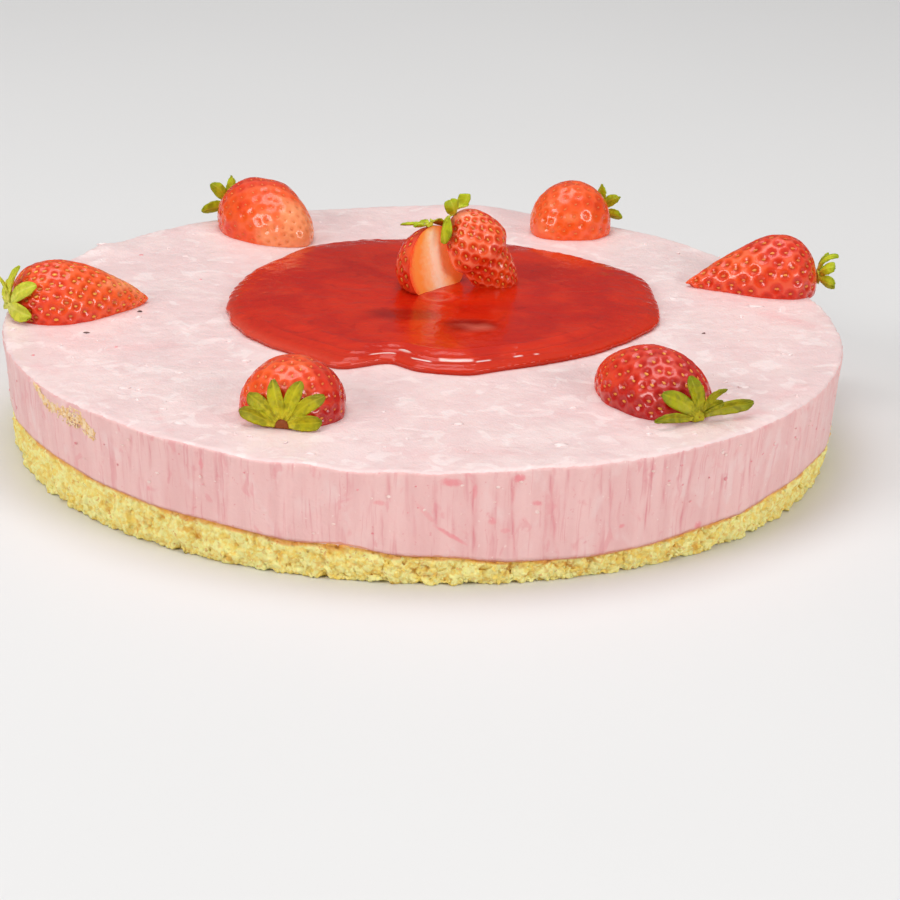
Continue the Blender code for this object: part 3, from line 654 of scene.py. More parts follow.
def filling_look():
    """Set strawberry cream: pale on top, pinker at the side with thin drawn streaks."""
    look = Look("filling", Roughness=0.42, Specular_IOR_Level=0.35, Subsurface_Weight=0.10,
                Subsurface_Scale=0.0015)
    look.shader.inputs["Subsurface Radius"].default_value = (1.0, 0.55, 0.45)
    cloud = look.range(look.noise(0.020, 3.0, 0.6), 0.38, 0.62)
    top = look.mix(cloud, tint("top"), tint("top_pale"))
    stroke = look.line(look.noise(0.012, 3.0, 1.5), 0.46, 0.035)
    top = look.over(top, stroke, 0.30, tint("top_stroke"))
    patch = look.range(look.noise(0.0075, 4.0, 0.8), 0.55, 0.63)
    top = look.over(top, patch, 0.6, tint("top_patch"))
    grey = look.range(look.noise(0.0035, 4.0, 1.0), 0.64, 0.70)
    top = look.over(top, grey, 0.30, tint("top_grey"))
    top = look.mix(look.attribute("blush"), top, tint("top_blush"))

    drawn = look.unrolled(0.03, 0.0018)
    tilted = look.unrolled(0.60)
    band = look.range(look.noise(0.0052, 4.0, 0.0, look.unrolled(0.10)), 0.34, 0.66)
    side = look.mix(band, tint("side"), tint("side_band"))
    pale = look.range(look.noise(0.0085, 3.0, 0.5, tilted), 0.54, 0.68)
    side = look.over(side, pale, 0.6, tint("side_pale"))
    rosy = look.range(look.noise(0.0040, 4.0, 0.6, tilted), 0.60, 0.70)
    side = look.over(side, rosy, 0.55, tint("side_rosy"))
    for size, width, depth, across in ((0.0050, 0.030, 0.62, 0.0060), (0.0027, 0.034, 0.42, 0.0040)):
        there = look.range(look.noise(across, 3.0, 0.3, look.unrolled(0.34)), 0.48, 0.62)
        thread = look.line(look.noise(size, 2.0, 0.0, drawn), 0.5, width)
        side = look.over(side, look.math("MULTIPLY", thread, there), depth, tint("side_thread"))
    side = look.over(side, look.attribute("streak"), 0.88, tint("side_streak"))
    side = look.mix(look.blots(SIDE_BLOTS, look.unrolled(1.0)), side, tint("side_blot"))
    speckle = look.range(look.noise(0.0012, 2.0), 0.68, 0.76)
    side = look.over(side, speckle, 0.5, tint("side_speckle"))
    fleck = look.range(look.noise(0.0014, 2.0, 0.0, look.unrolled(0.8)), 0.69, 0.76)
    side = look.over(side, fleck, 0.6, tint("side_fleck"))
    soaked = look.roughened(look.attribute("low"), 0.16, 0.0020)
    side = look.mix(look.range(soaked, 0.56, 0.84, 0.0, 0.75), side, tint("side_soaked"))

    ragged = look.math("MULTIPLY", look.math("SUBTRACT", look.noise(0.0022, 4.0, 0.5), 0.5), 1.3)
    over = look.range(look.math("ADD", look.attribute("side"), ragged), 0.44, 0.56)
    look.set("Base Color", look.mix(over, top, side))
    look.set("Roughness", look.range(look.noise(0.003, 3.0), 0.3, 0.7, 0.34, 0.52))
    fine = look.math("MULTIPLY", look.noise(0.0007, 4.0), 0.35)
    look.bump(look.math("ADD", fine, look.noise(0.0045, 4.0, 0.8)), 0.00032)
    return look.material


def jelly_look():
    """Red jelly: deep in the pool's middle, glowing orange red where it thins out, with painted dark
    reflections, a painted shine and painted glints in its colour.
    """
    look = Look("jelly", Roughness=0.05, IOR=1.38, Specular_IOR_Level=0.40, Subsurface_Weight=0.25,
                Subsurface_Scale=0.003)
    look.shader.inputs["Subsurface Radius"].default_value = (1.0, 0.16, 0.08)
    cloud = look.noise(0.020, 4.0, 0.8)
    deep = look.mix(look.range(cloud, 0.35, 0.65), tint("jelly_deep"), tint("jelly_cloud"))
    pulp = look.range(look.noise(0.0040, 5.0, 0.6), 0.58, 0.72)
    deep = look.over(deep, pulp, 0.35, tint("jelly_pulp"))
    # Painted dark reflection in the first two dents.
    deep = look.mix(look.attribute("dark"), deep, tint("jelly_painted_dark_reflection"))
    colour = look.mix(look.attribute("thin"), deep, tint("jelly_thin"))
    # Pale where the jelly thins, plus a painted highlight along the ripple and a painted reflection in the
    # shine.
    colour = look.mix(look.attribute("pale"), colour, tint("jelly_pale_and_painted_shine"))
    # Painted highlight: pale glints along the front edge.
    look.set("Base Color", look.mix(look.attribute("painted_glint"), colour, tint("jelly_painted_glint")))
    look.set("Roughness", look.range(look.noise(0.006, 3.0), 0.4, 0.7, 0.03, 0.09))
    look.bump(look.noise(0.0026, 4.0), 0.00024)
    return look.material


def skin_look():
    """Strawberry skin from orange red to crimson, with painted shade in the dimples, near the foot and on
    one side, and a painted highlight along the ridges between the dimples.
    """
    look = Look("strawberry_skin", Roughness=0.24, Specular_IOR_Level=0.40, Subsurface_Weight=0.08,
                Subsurface_Scale=0.0015, Coat_Weight=0.30, Coat_Roughness=0.07)
    look.shader.inputs["Subsurface Radius"].default_value = (1.0, 0.22, 0.10)
    # The ripeness here also carries painted shade near the foot and on one side.
    ripe = look.roughened(look.attribute("ripe"), 0.16, 0.006)
    colour = look.mix(look.range(ripe, -0.45, 0.0), tint("skin_unripe"), tint("skin_orange"))
    colour = look.mix(look.range(ripe, 0.0, 0.5), colour, tint("skin_red"))
    colour = look.mix(look.range(ripe, 0.5, 1.0), colour, tint("skin_crimson"))
    # Painted shade: the dimples darker.
    colour = look.over(colour, look.attribute("pit_and_painted_shade"), 0.55, tint("skin_pit_painted_shade"))
    # Painted highlight: paler skin along the ridges between the dimples.
    colour = look.mix(look.attribute("net_painted_highlight"), colour, tint("skin_net_painted_highlight"))
    look.set("Base Color", colour)
    look.bump(look.noise(0.0007, 3.0), 0.00005)
    return look.material


def flesh_look():
    """Cut face of a strawberry: red at the skin, orange flesh with fine rays and a pale core, and a faint
    painted orange glow that the face gives off.
    """
    # Painted light: the cut face emits a faint orange glow, as if lit through.
    look = Look("strawberry_flesh", Roughness=0.30, Subsurface_Weight=0.45, Subsurface_Scale=0.003,
                Emission_Color=tint("flesh_painted_glow"), Emission_Strength=0.13)
    look.shader.inputs["Subsurface Radius"].default_value = (1.0, 0.5, 0.3)
    out = look.roughened(look.attribute("out"), 0.06, 0.0014, 4.0, 0.6)
    colour = look.mix(look.range(out, 0.02, 0.34), tint("flesh_core"), tint("flesh_pale"))
    colour = look.mix(look.range(out, 0.26, 0.70), colour, tint("flesh_orange"))
    colour = look.mix(look.range(out, 0.80, 1.00), colour, tint("flesh_rim"))
    look.set("Base Color", colour)
    look.bump(look.noise(0.0009, 3.0), 0.00010)
    return look.material


def seed_look():
    """Golden seeds, some browner."""
    look = Look("strawberry_seed", Roughness=0.38, Specular_IOR_Level=0.5)
    brown = look.range(look.noise(0.004, 2.0), 0.4, 0.62)
    golden = look.mix(brown, tint("seed_gold"), tint("seed_brown"))
    look.set("Base Color", look.mix(look.attribute("dull"), golden, tint("seed_dull")))
    return look.material


def leaf_look(name, root, blade, tip, shade):
    """A green leaf, from its yellow root through the blade to the tip, with a pale midrib."""
    look = Look(name, Roughness=0.50, Specular_IOR_Level=0.25, Subsurface_Weight=0.12,
                Subsurface_Scale=0.001)
    along = look.attribute("along")
    colour = look.mix(look.range(along, 0.02, 0.45), root, blade)
    colour = look.mix(look.range(along, 0.65, 1.0), colour, tip)
    mottle = look.range(look.noise(0.0022, 4.0, 0.6), 0.42, 0.66)
    colour = look.over(colour, mottle, 0.55, shade)
    rib = look.range(look.attribute("aside"), 0.0, 0.22, 0.45, 0.0)
    colour = look.mix(rib, colour, root)
    edge = look.range(look.attribute("aside"), 0.75, 1.0, 0.0, 0.12)
    colour = look.mix(edge, colour, shade)
    rough = look.range(look.noise(0.0011, 3.0), 0.35, 0.65, -0.25, 0.25)
    scar = look.range(look.math("ADD", look.attribute("scar"), rough), 0.35, 0.65)
    colour = look.mix(scar, colour, tint("leaf_scar"))
    look.set("Base Color", colour)
    look.bump(look.noise(0.0009, 4.0), 0.00016)
    return look.material


def plain_look(name, roughness):
    """Small bits of two close colours."""
    look = Look(name, Roughness=roughness)
    colours = [linear(*rgb) for rgb in BIT_COLOURS[name]]
    look.set("Base Color", look.mix(look.range(look.noise(0.0015, 3.0), 0.4, 0.6), *colours))
    look.bump(look.noise(0.0004, 3.0), 0.00006)
    return look.material


def crumb_relief(points):
    """How far pressed crumbs stand out at the points, and how light each crumb is."""
    rise = np.zeros(len(points))
    tone = np.zeros(len(points))
    for size, depth in CRUMB_SIZES:
        warped = points / size + 0.3 * noise_at(points, 1.3 * size, 2.0)[:, None]
        cells = [noise.voronoi(place) for place in warped.tolist()]
        near = np.array([cell[0][0] for cell in cells])
        second = np.array([cell[0][1] for cell in cells])
        middle = np.array([cell[1][0][:] for cell in cells])
        chance = np.sin(middle @ np.array([12.99, 78.23, 37.72])) * 43758.5
        chance -= np.floor(chance)
        edge = smooth_step(second - near, 0.0, 0.22)
        lean = np.sin(chance[:, None] * np.array([57.0, 91.0, 143.0]))
        tilt = ((warped - middle) * lean).sum(1)
        rise += depth * ((chance - 0.5) * 1.4 + 1.3 * tilt + 0.6 * edge - 0.3)
        tone += 0.5 * chance
    return rise, tone


def build_base(biscuit):
    """The pressed crumb base, with every crumb in the side as real relief."""
    angle = ring_angles(BASE_STEPS)[None, :]
    rim = seam_height(angle)
    lifted = np.maximum(seam_edge(angle), 0.0)
    outside = FOOT_RADIUS - 0.5 * BASE_INSET
    share = np.linspace(1.0, 0.0, BASE_SIDE_ROWS)[:, None]
    turn = np.radians(angle)
    heights = share * (seam_surface(outside, rim) + lifted * smooth_step(share, 0.6, 1.0) + 0.0002)
    flat = around(outside, turn, heights)
    crag = CRAG_DEPTH * noise_at(flat, CRAG_SIZE) + 0.4 * CRAG_DEPTH * noise_at(flat, CRAG_SIZE / 2.3)
    rise, tone = (values.reshape(flat.shape[:2]) for values in crumb_relief(flat.reshape(-1, 3)))
    rough = 0.55 + 0.45 * hump(angle, -78, 26) + 0.20 * round_noise(angle, 9, 4.0)
    rise *= rough
    low = rise + 0.55 * crag * rough
    # Painted shade in the recessed pockets of the side, as a mask for the colour.
    painted_pocket_shade = 0.75 * smooth_step(-low, 0.00035, 0.00095)
    inset = -0.0005 * smooth_step(share, 0.3, 1.0)
    undercut = BASE_UNDERCUT * (1.0 - smooth_step(share, 0.0, 0.4))
    radius = outside - inset - undercut + crag + rise
    notch = np.clip(noise_at(flat[-1:], 0.0034, 7.0) - 0.05, 0.0, 1.0) * 0.0022
    notch += np.clip(noise_at(flat[-1:], 0.0012, 3.0), 0.0, 1.0) * 0.0006
    inner = smooth_step(share, 0.02, 0.2) * (1.0 - smooth_step(share, 0.8, 0.95))
    heights = heights + 0.5 * (crag + rise) * inner + notch * (1.0 - smooth_step(share, 0.0, 0.35))
    side = around(radius, turn, np.maximum(heights, 0.0))
    upper = [around(inner_radius, turn, seam_surface(inner_radius, rim))
             for inner_radius in (SEAM_LEVEL_RADIUS, SEAM_BAND_RADIUS)]
    lower = [around(flat_radius, turn, 0.0) for flat_radius in UNDERSIDE_RADII]
    rings = np.concatenate([*upper, side, *lower])
    mesh = closed_rings("biscuit_base", rings)
    blank_above = np.zeros((len(upper), BASE_STEPS))
    reach = 0.90 - 0.24 * np.clip(noise_at(flat[:1], 0.0060, 11.0), 0.0, 1.0) * hump(angle, -84, 30)
    soak = 0.70 * smooth_step(share, reach - 0.05, reach + 0.05)
    for name, values in (("painted_pocket_shade", painted_pocket_shade), ("tone", tone), ("soak", soak)):
        add_attribute(mesh, name, np.concatenate([blank_above, values]))
    add_piece("crumb_base", mesh, [biscuit], "biscuit", "biscuit_base")
    return side


def joined_mesh(name, parts):
    """One mesh of many loose parts, each given by its points and faces."""
    starts = np.cumsum([0] + [len(points) for points, _ in parts])
    faces = np.vstack([faces + start for (_, faces), start in zip(parts, starts)])
    mesh = bpy.data.meshes.new(name)
    mesh.from_pydata(np.vstack([points for points, _ in parts]).tolist(), [], faces.tolist())
    return mesh


def small_lump(rng):
    """The points and faces of one angular crumb about 1 across."""
    bm = bmesh.new()
    bmesh.ops.create_icosphere(bm, subdivisions=LUMP_DETAIL, radius=0.5)
    points = np.array([vertex.co[:] for vertex in bm.verts])
    faces = np.array([[vertex.index for vertex in face.verts] for face in bm.faces])
    bm.free()
    points *= 1.0 + 0.55 * noise_at(points, 0.45, rng.uniform(0.0, 50.0))[:, None]
    return points * rng.uniform(0.65, 1.2, 3), faces


def turned_about(rng):
    """A rotation to any side, as a 3 x 3 array."""
    axis = rng.normal(size=3)
    return np.array(Matrix.Rotation(rng.uniform(0.0, math.tau), 3, Vector(axis)))


def scattered(name, lumps, places, sizes, rng):
    """One mesh of many small lumps, none of them under the floor."""
    parts = []
    for place, size in zip(places, sizes):
        shape, faces = lumps[rng.integers(len(lumps))]
        points = (shape * size) @ turned_about(rng).T + place
        points[:, 2] = np.maximum(points[:, 2], 0.0001)
        parts.append((points, faces))
    return joined_mesh(name, parts)


def build_loose_crumbs(side, biscuit):
    """Loose crumbs caught in the side of the base and round its foot."""
    rng = np.random.default_rng(SEEDS["crumbs"])
    lumps = [small_lump(rng) for _ in range(CRUMB_SHAPES)]
    rows, steps = side.shape[:2]
    places, sizes = [], []
    for number in range(LOOSE_CRUMBS):
        low = number % 2 == 0
        row = rng.integers(int(rows * 0.74), rows - 2) if low else rng.integers(3, rows - 3)
        size = rng.uniform(0.0007, 0.0016) * (1.2 if low else 1.0)
        place = side[row, rng.integers(steps)].copy()
        place[:2] *= 1.0 - 0.22 * size / np.hypot(*place[:2])
        place[2] = max(place[2], 0.60 * size)
        places.append(place)
        sizes.append(size)
    mesh = scattered("loose_crumbs", lumps, places, sizes, rng)
    add_attribute(mesh, "tone", np.repeat(rng.uniform(0.2, 1.0, LOOSE_CRUMBS), len(lumps[0][0])))
    add_piece("loose_crumbs", mesh, [biscuit], "biscuit")


def build_crumb_smear():
    """Base crumbs smeared into the side of the filling when the tin came off."""
    rng = np.random.default_rng(SEEDS["smear"])
    path = smooth_curve(CRUMB_SMEAR, 30)
    spots = []
    for share in np.sort(rng.uniform(0.0, 1.0, SMEAR_BITS)):
        angle, height = path[int(share * (len(path) - 1))]
        wide = 0.0005 + 0.0007 * math.exp(-((share - 0.55) / 0.28) ** 2)
        height = min(height + rng.normal(0.0, wide), 0.0303)
        size = rng.uniform(0.0005, 0.0013) * (1.0 - 0.30 * share)
        place = side_place(angle + rng.normal(0.0, 0.3), height)
        spots.append((*place, size, size * rng.uniform(0.6, 1.0)))
    look = plain_look("crumb_smear", 0.7)
    add_piece("crumb_smear", flat_bits("crumb_smear", spots, SMEAR_THICKNESS, rng), [look], "biscuit")


def streak_strength(angle, height):
    """How strongly the side is streaked at each point, from 0 to 1."""
    rng = np.random.default_rng(SEEDS["streaks"])
    streaks = list(MAIN_STREAKS)
    for number in range(OTHER_STREAKS):
        turn = (number + rng.uniform(0.0, 1.0)) * 360.0 / OTHER_STREAKS
        high = rng.uniform(0.0265, 0.0308) if rng.random() < 0.6 else rng.uniform(0.016, 0.026)
        low = max(high - rng.uniform(0.003, 0.018), 0.0085)
        streaks.append((turn, turn + rng.normal(0.0, 0.4), high, low, rng.uniform(0.08, 0.60) ** 1.5))
    total = np.zeros(np.broadcast(angle, height).shape)
    for upper, lower, high, low, strength in streaks:
        spread = rng.uniform(0.10, 0.17)
        share = np.clip((high - height) / (high - low), 0.0, 1.0)
        sway = 0.12 * np.sin(height / 0.0034 + 7.0 * upper) + 0.05 * np.sin(height / 0.0011 + 3.0 * upper)
        window = smooth_step(height, low - 0.002, low + 0.003)
        window = window * (1.0 - smooth_step(height, high - 0.001, high + 0.0015))
        window = window * (0.7 + 0.3 * np.sin(height / 0.0017 + 5.0 * upper))
        bell = hump(angle, upper + share * (lower - upper) + 0.6 * sway, spread)
        total = np.maximum(total, strength * bell * window)
    return total


def top_relief(x, y):
    """Low relief that the spatula left on the top."""
    points = np.stack([x, y, np.zeros_like(x)], -1)
    relief = 0.00022 * noise_at(points, 0.0130, 2.0) + 0.00010 * noise_at(points, 0.0055, 5.0)
    stroke = noise_at(points * (1.0, 2.2, 1.0), 0.0120, 9.0)
    return relief + 0.00010 * smooth_step(stroke, 0.1, 0.5)


def blush_strength(x, y):
    """How pink the top is: a few drawn swirls of fruit."""
    total = np.zeros_like(x)
    for start_x, start_y, end_x, end_y, wide, strength in TOP_BLUSH:
        way = np.array([end_x - start_x, end_y - start_y])
        share = ((x - start_x) * way[0] + (y - start_y) * way[1]) / (way @ way)
        share = np.clip(share, 0.0, 1.0)
        away = np.hypot(x - start_x - share * way[0], y - start_y - share * way[1])
        total = np.maximum(total, strength * np.exp(-(away / wide) ** 2))
    return total


def build_filling(cream):
    """The set pink filling: gently uneven top, ragged rim, and drag marks down the side."""
    floor = SEAM_HEIGHT + GAP
    top_radii = np.concatenate([[0.040, 0.046], np.arange(0.050, 0.1112, TOP_RING_STEP)])
    profile = [(radius, CAKE_HEIGHT) for radius in top_radii]
    corner = [(0.1124, CAKE_HEIGHT)]
    corner += [(RIM_RADIUS - RIM_ROUNDING * inward, CAKE_HEIGHT - RIM_ROUNDING * down)
               for inward, down in RIM_CORNER]
    corner += [(wall_radius(0.0282) + 0.0001, 0.0282)]
    profile += smooth_curve(corner, 2).tolist()
    profile += [(wall_radius(height), height) for height in np.linspace(0.0270, floor, SIDE_ROWS)]
    profile += [(FOOT_RADIUS - GAP, floor), (SEAM_BAND_RADIUS, floor), (SEAM_LEVEL_RADIUS, floor)]
    profile = np.array(profile)
    radius, height = profile[:, :1], profile[:, 1:]
    angle = ring_angles(FILLING_STEPS)[None, :]
    turn = np.radians(angle)
    below = np.arange(len(profile))[:, None] >= len(profile) - 3

    top_share = (height - floor) / (CAKE_HEIGHT - floor)
    shift = (1.0 - top_share) * (seam_surface(radius, seam_height(angle)) - SEAM_HEIGHT)
    lip_share = smooth_step(radius, LIP_START_RADIUS, LIP_FULL_RADIUS)
    shift = shift + np.maximum(top_share, 0.0) ** 3 * lip_share * lip_height(angle)
    shift += seam_edge(angle) * (1.0 - smooth_step(height, floor, floor + 0.005)) * ~below
    heights = height + shift
    x, y = radius * np.cos(turn), radius * np.sin(turn)
    on_top = smooth_step(height, CAKE_HEIGHT - 0.0012, CAKE_HEIGHT - 0.0001) * ~below
    relief = top_relief(x, y)
    edge = np.exp(-((height - 0.0306) / 0.0010) ** 2) * (radius > 0.1120) * ~below
    place = np.stack([x, y, 0.5 * np.broadcast_to(height, x.shape)], -1)
    ragged = noise_at(place, 0.0026, 4.0) + 0.5 * noise_at(place, 0.0012, 8.0)
    heights = heights + relief * on_top + 0.00016 * ragged * edge

    upright = (1.0 - on_top) * ~below
    streak = streak_strength(angle, np.broadcast_to(heights, x.shape)) * upright
    wavy = 0.0003 * noise_at(place, 0.0120) + 0.00012 * noise_at(place, 0.0040, 6.0)
    grown = wavy * (upright + edge).clip(0.0, 1.0) + 0.00026 * ragged * edge - GROOVE_DEPTH * streak
    out = radius + grown - 0.0001 * (upright + edge).clip(0.0, 1.0)
    mesh = closed_rings("cheesecake_filling", around(out, turn, heights))
    add_attribute(mesh, "streak", streak)
    over = np.where(radius < 0.113, 0.0, smooth_step(-height, -CAKE_HEIGHT, -CAKE_HEIGHT + 0.0009))
    add_attribute(mesh, "blush", blush_strength(x, y) * on_top)
    add_attribute(mesh, "side", np.broadcast_to(over, x.shape))
    low = (np.abs(height - floor) < 1e-6) * (radius > FOOT_RADIUS - 0.5 * GAP)
    add_attribute(mesh, "low", np.broadcast_to(1.0 * low, x.shape))
    add_piece("strawberry_cream", mesh, [cream], "filling", "cheesecake_filling")


def side_place(angle, height):
    """The point of the side at an angle and height, and the three directions there."""
    turn = math.radians(angle)
    out = np.array([math.cos(turn), math.sin(turn), 0.0])
    along = np.array([-math.sin(turn), math.cos(turn), 0.0])
    return wall_radius(height) * out + np.array([0.0, 0.0, height]), along, np.array([0.0, 0.0, 1.0]), out


def flat_bits(name, spots, thickness, rng):
    """One mesh of small flattened lumps. A spot is (place, along, across, out, length, width)."""
    parts = []
    for place, along, across, out, length, width in spots:
        shape, faces = small_lump(rng)
        axes = np.stack([along * length, across * width, out * thickness])
        parts.append((shape @ axes + place, faces))
    return joined_mesh(name, parts)


def random_side_spots(rng, count, sizes):
    """Places for bits all round the side."""
    spots = []
    for _ in range(count):
        length = rng.uniform(*sizes)
        angle, height = rng.uniform(-180.0, 180.0), rng.uniform(*SIDE_BIT_HEIGHTS)
        spots.append((angle, height, length, length * rng.uniform(0.4, 0.9)))
    return spots


def build_bits():
    """Fruit and cream specks in the filling's side, and the dabs and few specks on its top."""
    rng = np.random.default_rng(SEEDS["bits"])
    x_way, y_way, upright = np.eye(3)

    def sides(table):
        return [(*side_place(angle, height), length, width) for angle, height, length, width in table]

    def tops(table):
        return [(np.array([x, y, CAKE_HEIGHT]), x_way, y_way, upright, length, width)
                for x, y, length, width in table]

    def add_bits(name, spots, thickness, look):
        add_piece(name, flat_bits(name, spots, thickness, rng), [look], "filling")

    fruit = plain_look("fruit_bits", 0.4)
    cream = plain_look("cream_specks", 0.5)
    dabs = plain_look("cream_dabs", 0.5)
    seeds = plain_look("seed_specks", 0.5)
    spots = sides(random_side_spots(rng, RANDOM_FRUIT_BITS, (0.0005, 0.0012))) + tops(TOP_FRUIT_BITS)
    add_bits("fruit_bits", spots, 0.00026, fruit)
    more = random_side_spots(rng, RANDOM_CREAM_SPECKS, (0.0005, 0.0013))
    add_bits("cream_specks", sides((*SIDE_CREAM_SPECKS, *more)), 0.00034, cream)
    spots = tops([(x, y, 1.6 * radius, 0.9 * radius) for x, y, radius in TOP_DABS])
    for _ in range(RANDOM_DABS):
        turn, out = rng.uniform(0.0, math.tau), math.sqrt(rng.uniform(0.34, 0.95)) * RIM_RADIUS
        way = rng.uniform(0.0, math.pi)
        along = math.cos(way) * x_way + math.sin(way) * y_way
        across = math.cos(way) * y_way - math.sin(way) * x_way
        length = rng.uniform(0.0007, 0.0022)
        place = np.array([out * math.cos(turn), out * math.sin(turn), CAKE_HEIGHT])
        spots.append((place, along, across, upright, length, length * rng.uniform(0.3, 0.7)))
    add_bits("cream_dabs", spots, 0.0007, dabs)
    add_bits("seed_specks", tops(TOP_SEED_SPECKS), 0.0008, seeds)


def jelly_border_detail(angle):
    """Fine unevenness of the jelly's outline: lobes at the left, a serrated edge at the right."""
    lobes = 0.0011 * np.abs(round_noise(angle, 66, 3.3)) * hump(angle, -165, 40)
    right = hump(angle, -40, 30) + 0.5 * hump(angle, 20, 30)
    serrated = 0.0005 * np.abs(round_noise(angle, 230, 9.1)) * right
    return -lobes - serrated


def ripple(x, y, width):
    """1 on the round ripple in the jelly, from its centre, and 0 away from it."""
    ripple_x, ripple_y, radius = JELLY_RIPPLE
    away = np.hypot(x - ripple_x, y - ripple_y) - radius
    return np.exp(-(away / width) ** 2)


def jelly_relief(x, y, share, angle):
    """Wrinkles, dents, pulp and the ridged front border of the jelly, from its centre."""
    points = np.stack([x, y, np.zeros_like(x)], -1)
    relief = 0.00016 * noise_at(points, 0.0120, 1.0) + 0.00009 * noise_at(points, 0.0050, 4.0)
    rng = np.random.default_rng(SEEDS["jelly"])
    for _ in range(JELLY_PULP):
        turn, out = rng.uniform(0.0, math.tau), math.sqrt(rng.uniform(0.0, 0.8)) * JELLY_RADIUS
        wide = rng.uniform(0.0010, 0.0024)
        away = ((x - out * math.cos(turn)) ** 2 + (1.6 * (y - out * math.sin(turn))) ** 2) / wide ** 2
        relief += rng.uniform(-0.00012, 0.00014) * np.exp(-away)
    for dent_x, dent_y, wide, long, deep in JELLY_DENTS:
        away = ((x - dent_x) / long) ** 2 + ((y - dent_y) / wide) ** 2
        relief -= deep * np.exp(-away ** 2)
    relief += 0.00030 * ripple(x, y, 0.0009)
    front = hump(angle, -82, 48)
    wobble = 0.012 * round_noise(angle, 22, 2.2) + 0.008 * round_noise(angle, 75, 6.2)
    place = share + wobble
    relief += front * 0.00022 * np.exp(-((place - 0.800) / 0.009) ** 2)
    relief -= front * 0.00050 * smooth_step(place, 0.815, 0.860)
    edge = 0.00026 * front + 0.00026 * hump(angle, -92, 24)
    relief += edge * np.exp(-((place + 0.3 * wobble - 0.895) / 0.0095) ** 2)
    relief += (0.3 + 0.7 * front) * 0.00014 * np.exp(-((place - 0.950) / 0.010) ** 2)
    bumpy = np.clip(noise_at(points, 0.0026, 6.0), -0.2, 1.0) * (1.0 - 0.7 * front)
    return relief + 0.00026 * bumpy * smooth_step(share, 0.86, 0.95)


def jelly_tints(x, y, share, high, angle):
    """Where the jelly is thin, where it is darkened by painted reflections, where it is pale or carries
    painted highlights, and where painted glints lie, each from 0 to 1.
    """
    thin = 0.85 * (1.0 - smooth_step(high, 0.40, 1.0))
    thin = thin + 0.35 * smooth_step(share, 0.78, 0.84) * hump(angle, -85, 45)
    # Painted dark reflections in the first two dents.
    dark = np.zeros_like(x)
    for strength, (dent_x, dent_y, wide, long, _) in zip(DENT_PAINTED_DARK_REFLECTION, JELLY_DENTS):
        away = ((x - dent_x) / long) ** 2 + ((y - dent_y) / wide) ** 2
        dark += strength * np.exp(-away ** 3)
    # Painted reflection: a pale shine in the second dent.
    shine_x, shine_y, long, wide = JELLY_PAINTED_SHINE
    shine = ((x - shine_x) / long) ** 2 + ((y - shine_y) / wide) ** 2
    pale = (1.0 - smooth_step(high, 0.20, 0.75)) * (0.03 + 0.3 * hump(angle, -165, 35))
    # Painted highlight along the ripple, and the painted shine.
    pale = pale + 0.22 * ripple(x, y, 0.0006) + 0.55 * np.exp(-shine ** 2)
    # Painted highlights: glints along the front edge.
    painted_glint = np.zeros_like(x)
    for start, end, place in JELLY_PAINTED_GLINTS:
        after = smooth_step(angle - 360.0, start - 0.5, start + 0.5)
        before = smooth_step(360.0 - angle, -end - 0.5, 0.5 - end)
        painted_glint += after * before * np.exp(-((share - place) / 0.0055) ** 2)
    return {"thin": thin, "dark": dark, "pale": pale, "painted_glint": painted_glint}


def build_jelly(red):
    """The pool of red jelly."""
    inner = [(share, 1.0) for share in np.arange(0.015, 0.43, 0.015)]
    border = smooth_curve(JELLY_BORDER, 10)
    border = np.vstack([border[2:11:3], border[11:]])
    profile = np.vstack([inner, border])
    share, high = profile[:, :1], profile[:, 1:]
    angle = ring_angles(JELLY_STEPS)[None, :]
    turn = np.radians(angle)
    outline = jelly_outline(angle) / JELLY_RADIUS
    stretch = 1.0 + share ** 2 * (outline - 1.0)
    stretch = stretch + share ** 24 * jelly_border_detail(angle) / JELLY_RADIUS
    x = share * JELLY_RADIUS * stretch * np.cos(turn)
    y = share * JELLY_RADIUS * stretch * np.sin(turn)
    relief = jelly_relief(x, y, np.broadcast_to(share, x.shape), np.broadcast_to(angle, x.shape))
    relief *= smooth_step(high, 0.25, 0.75)
    foot = np.arange(len(profile))[:, None] == len(profile) - 1
    z = TOP + JELLY_THICKNESS * high + relief - 0.0007 * foot
    rings = np.stack([x + JELLY_CENTRE[0], y + JELLY_CENTRE[1], z], -1)
    lower = rings[-1:].copy()
    lower[..., :2] = JELLY_CENTRE + 0.9 * (lower[..., :2] - JELLY_CENTRE)
    mesh = closed_rings("jelly_topping", np.concatenate([rings, lower]))
    for name, values in jelly_tints(x, y, share, high, angle).items():
        add_attribute(mesh, name, np.clip(np.broadcast_to(values, x.shape), 0.0, 1.0))
    add_piece("red_jelly", mesh, [red], "jelly", "jelly_topping")


def frame_matrix(origin, axis, bulge):
    """Rotation and place of a fruit: local +X runs to its tip, local +Z out of its cut face."""
    along = Vector(axis).normalized()
    up = Vector(bulge)
    up = (up - along * up.dot(along)).normalized()
    turn = Matrix((along, up.cross(along), up)).transposed()
    return Matrix.Translation(origin) @ turn.to_4x4()


def berry_matrix(berry):
    """Place of a strawberry in the cake."""
    if "tip" in berry:
        start = Vector((*berry["calyx"], TOP + berry["raised"]))
        end = Vector((*berry["tip"], TOP + BERRY_TIP_RAISED))
        return frame_matrix(start, end - start, (0.0, 0.0, 1.0))
    start = Vector(berry["calyx"])
    return frame_matrix(start, Vector(berry["foot"]) - start, berry["bulge"])


def fruit_length(berry):
    """Length from calyx to tip."""
    if "tip" in berry:
        return (Vector(berry["tip"]) - Vector(berry["calyx"])).length
    return berry["full_length"]


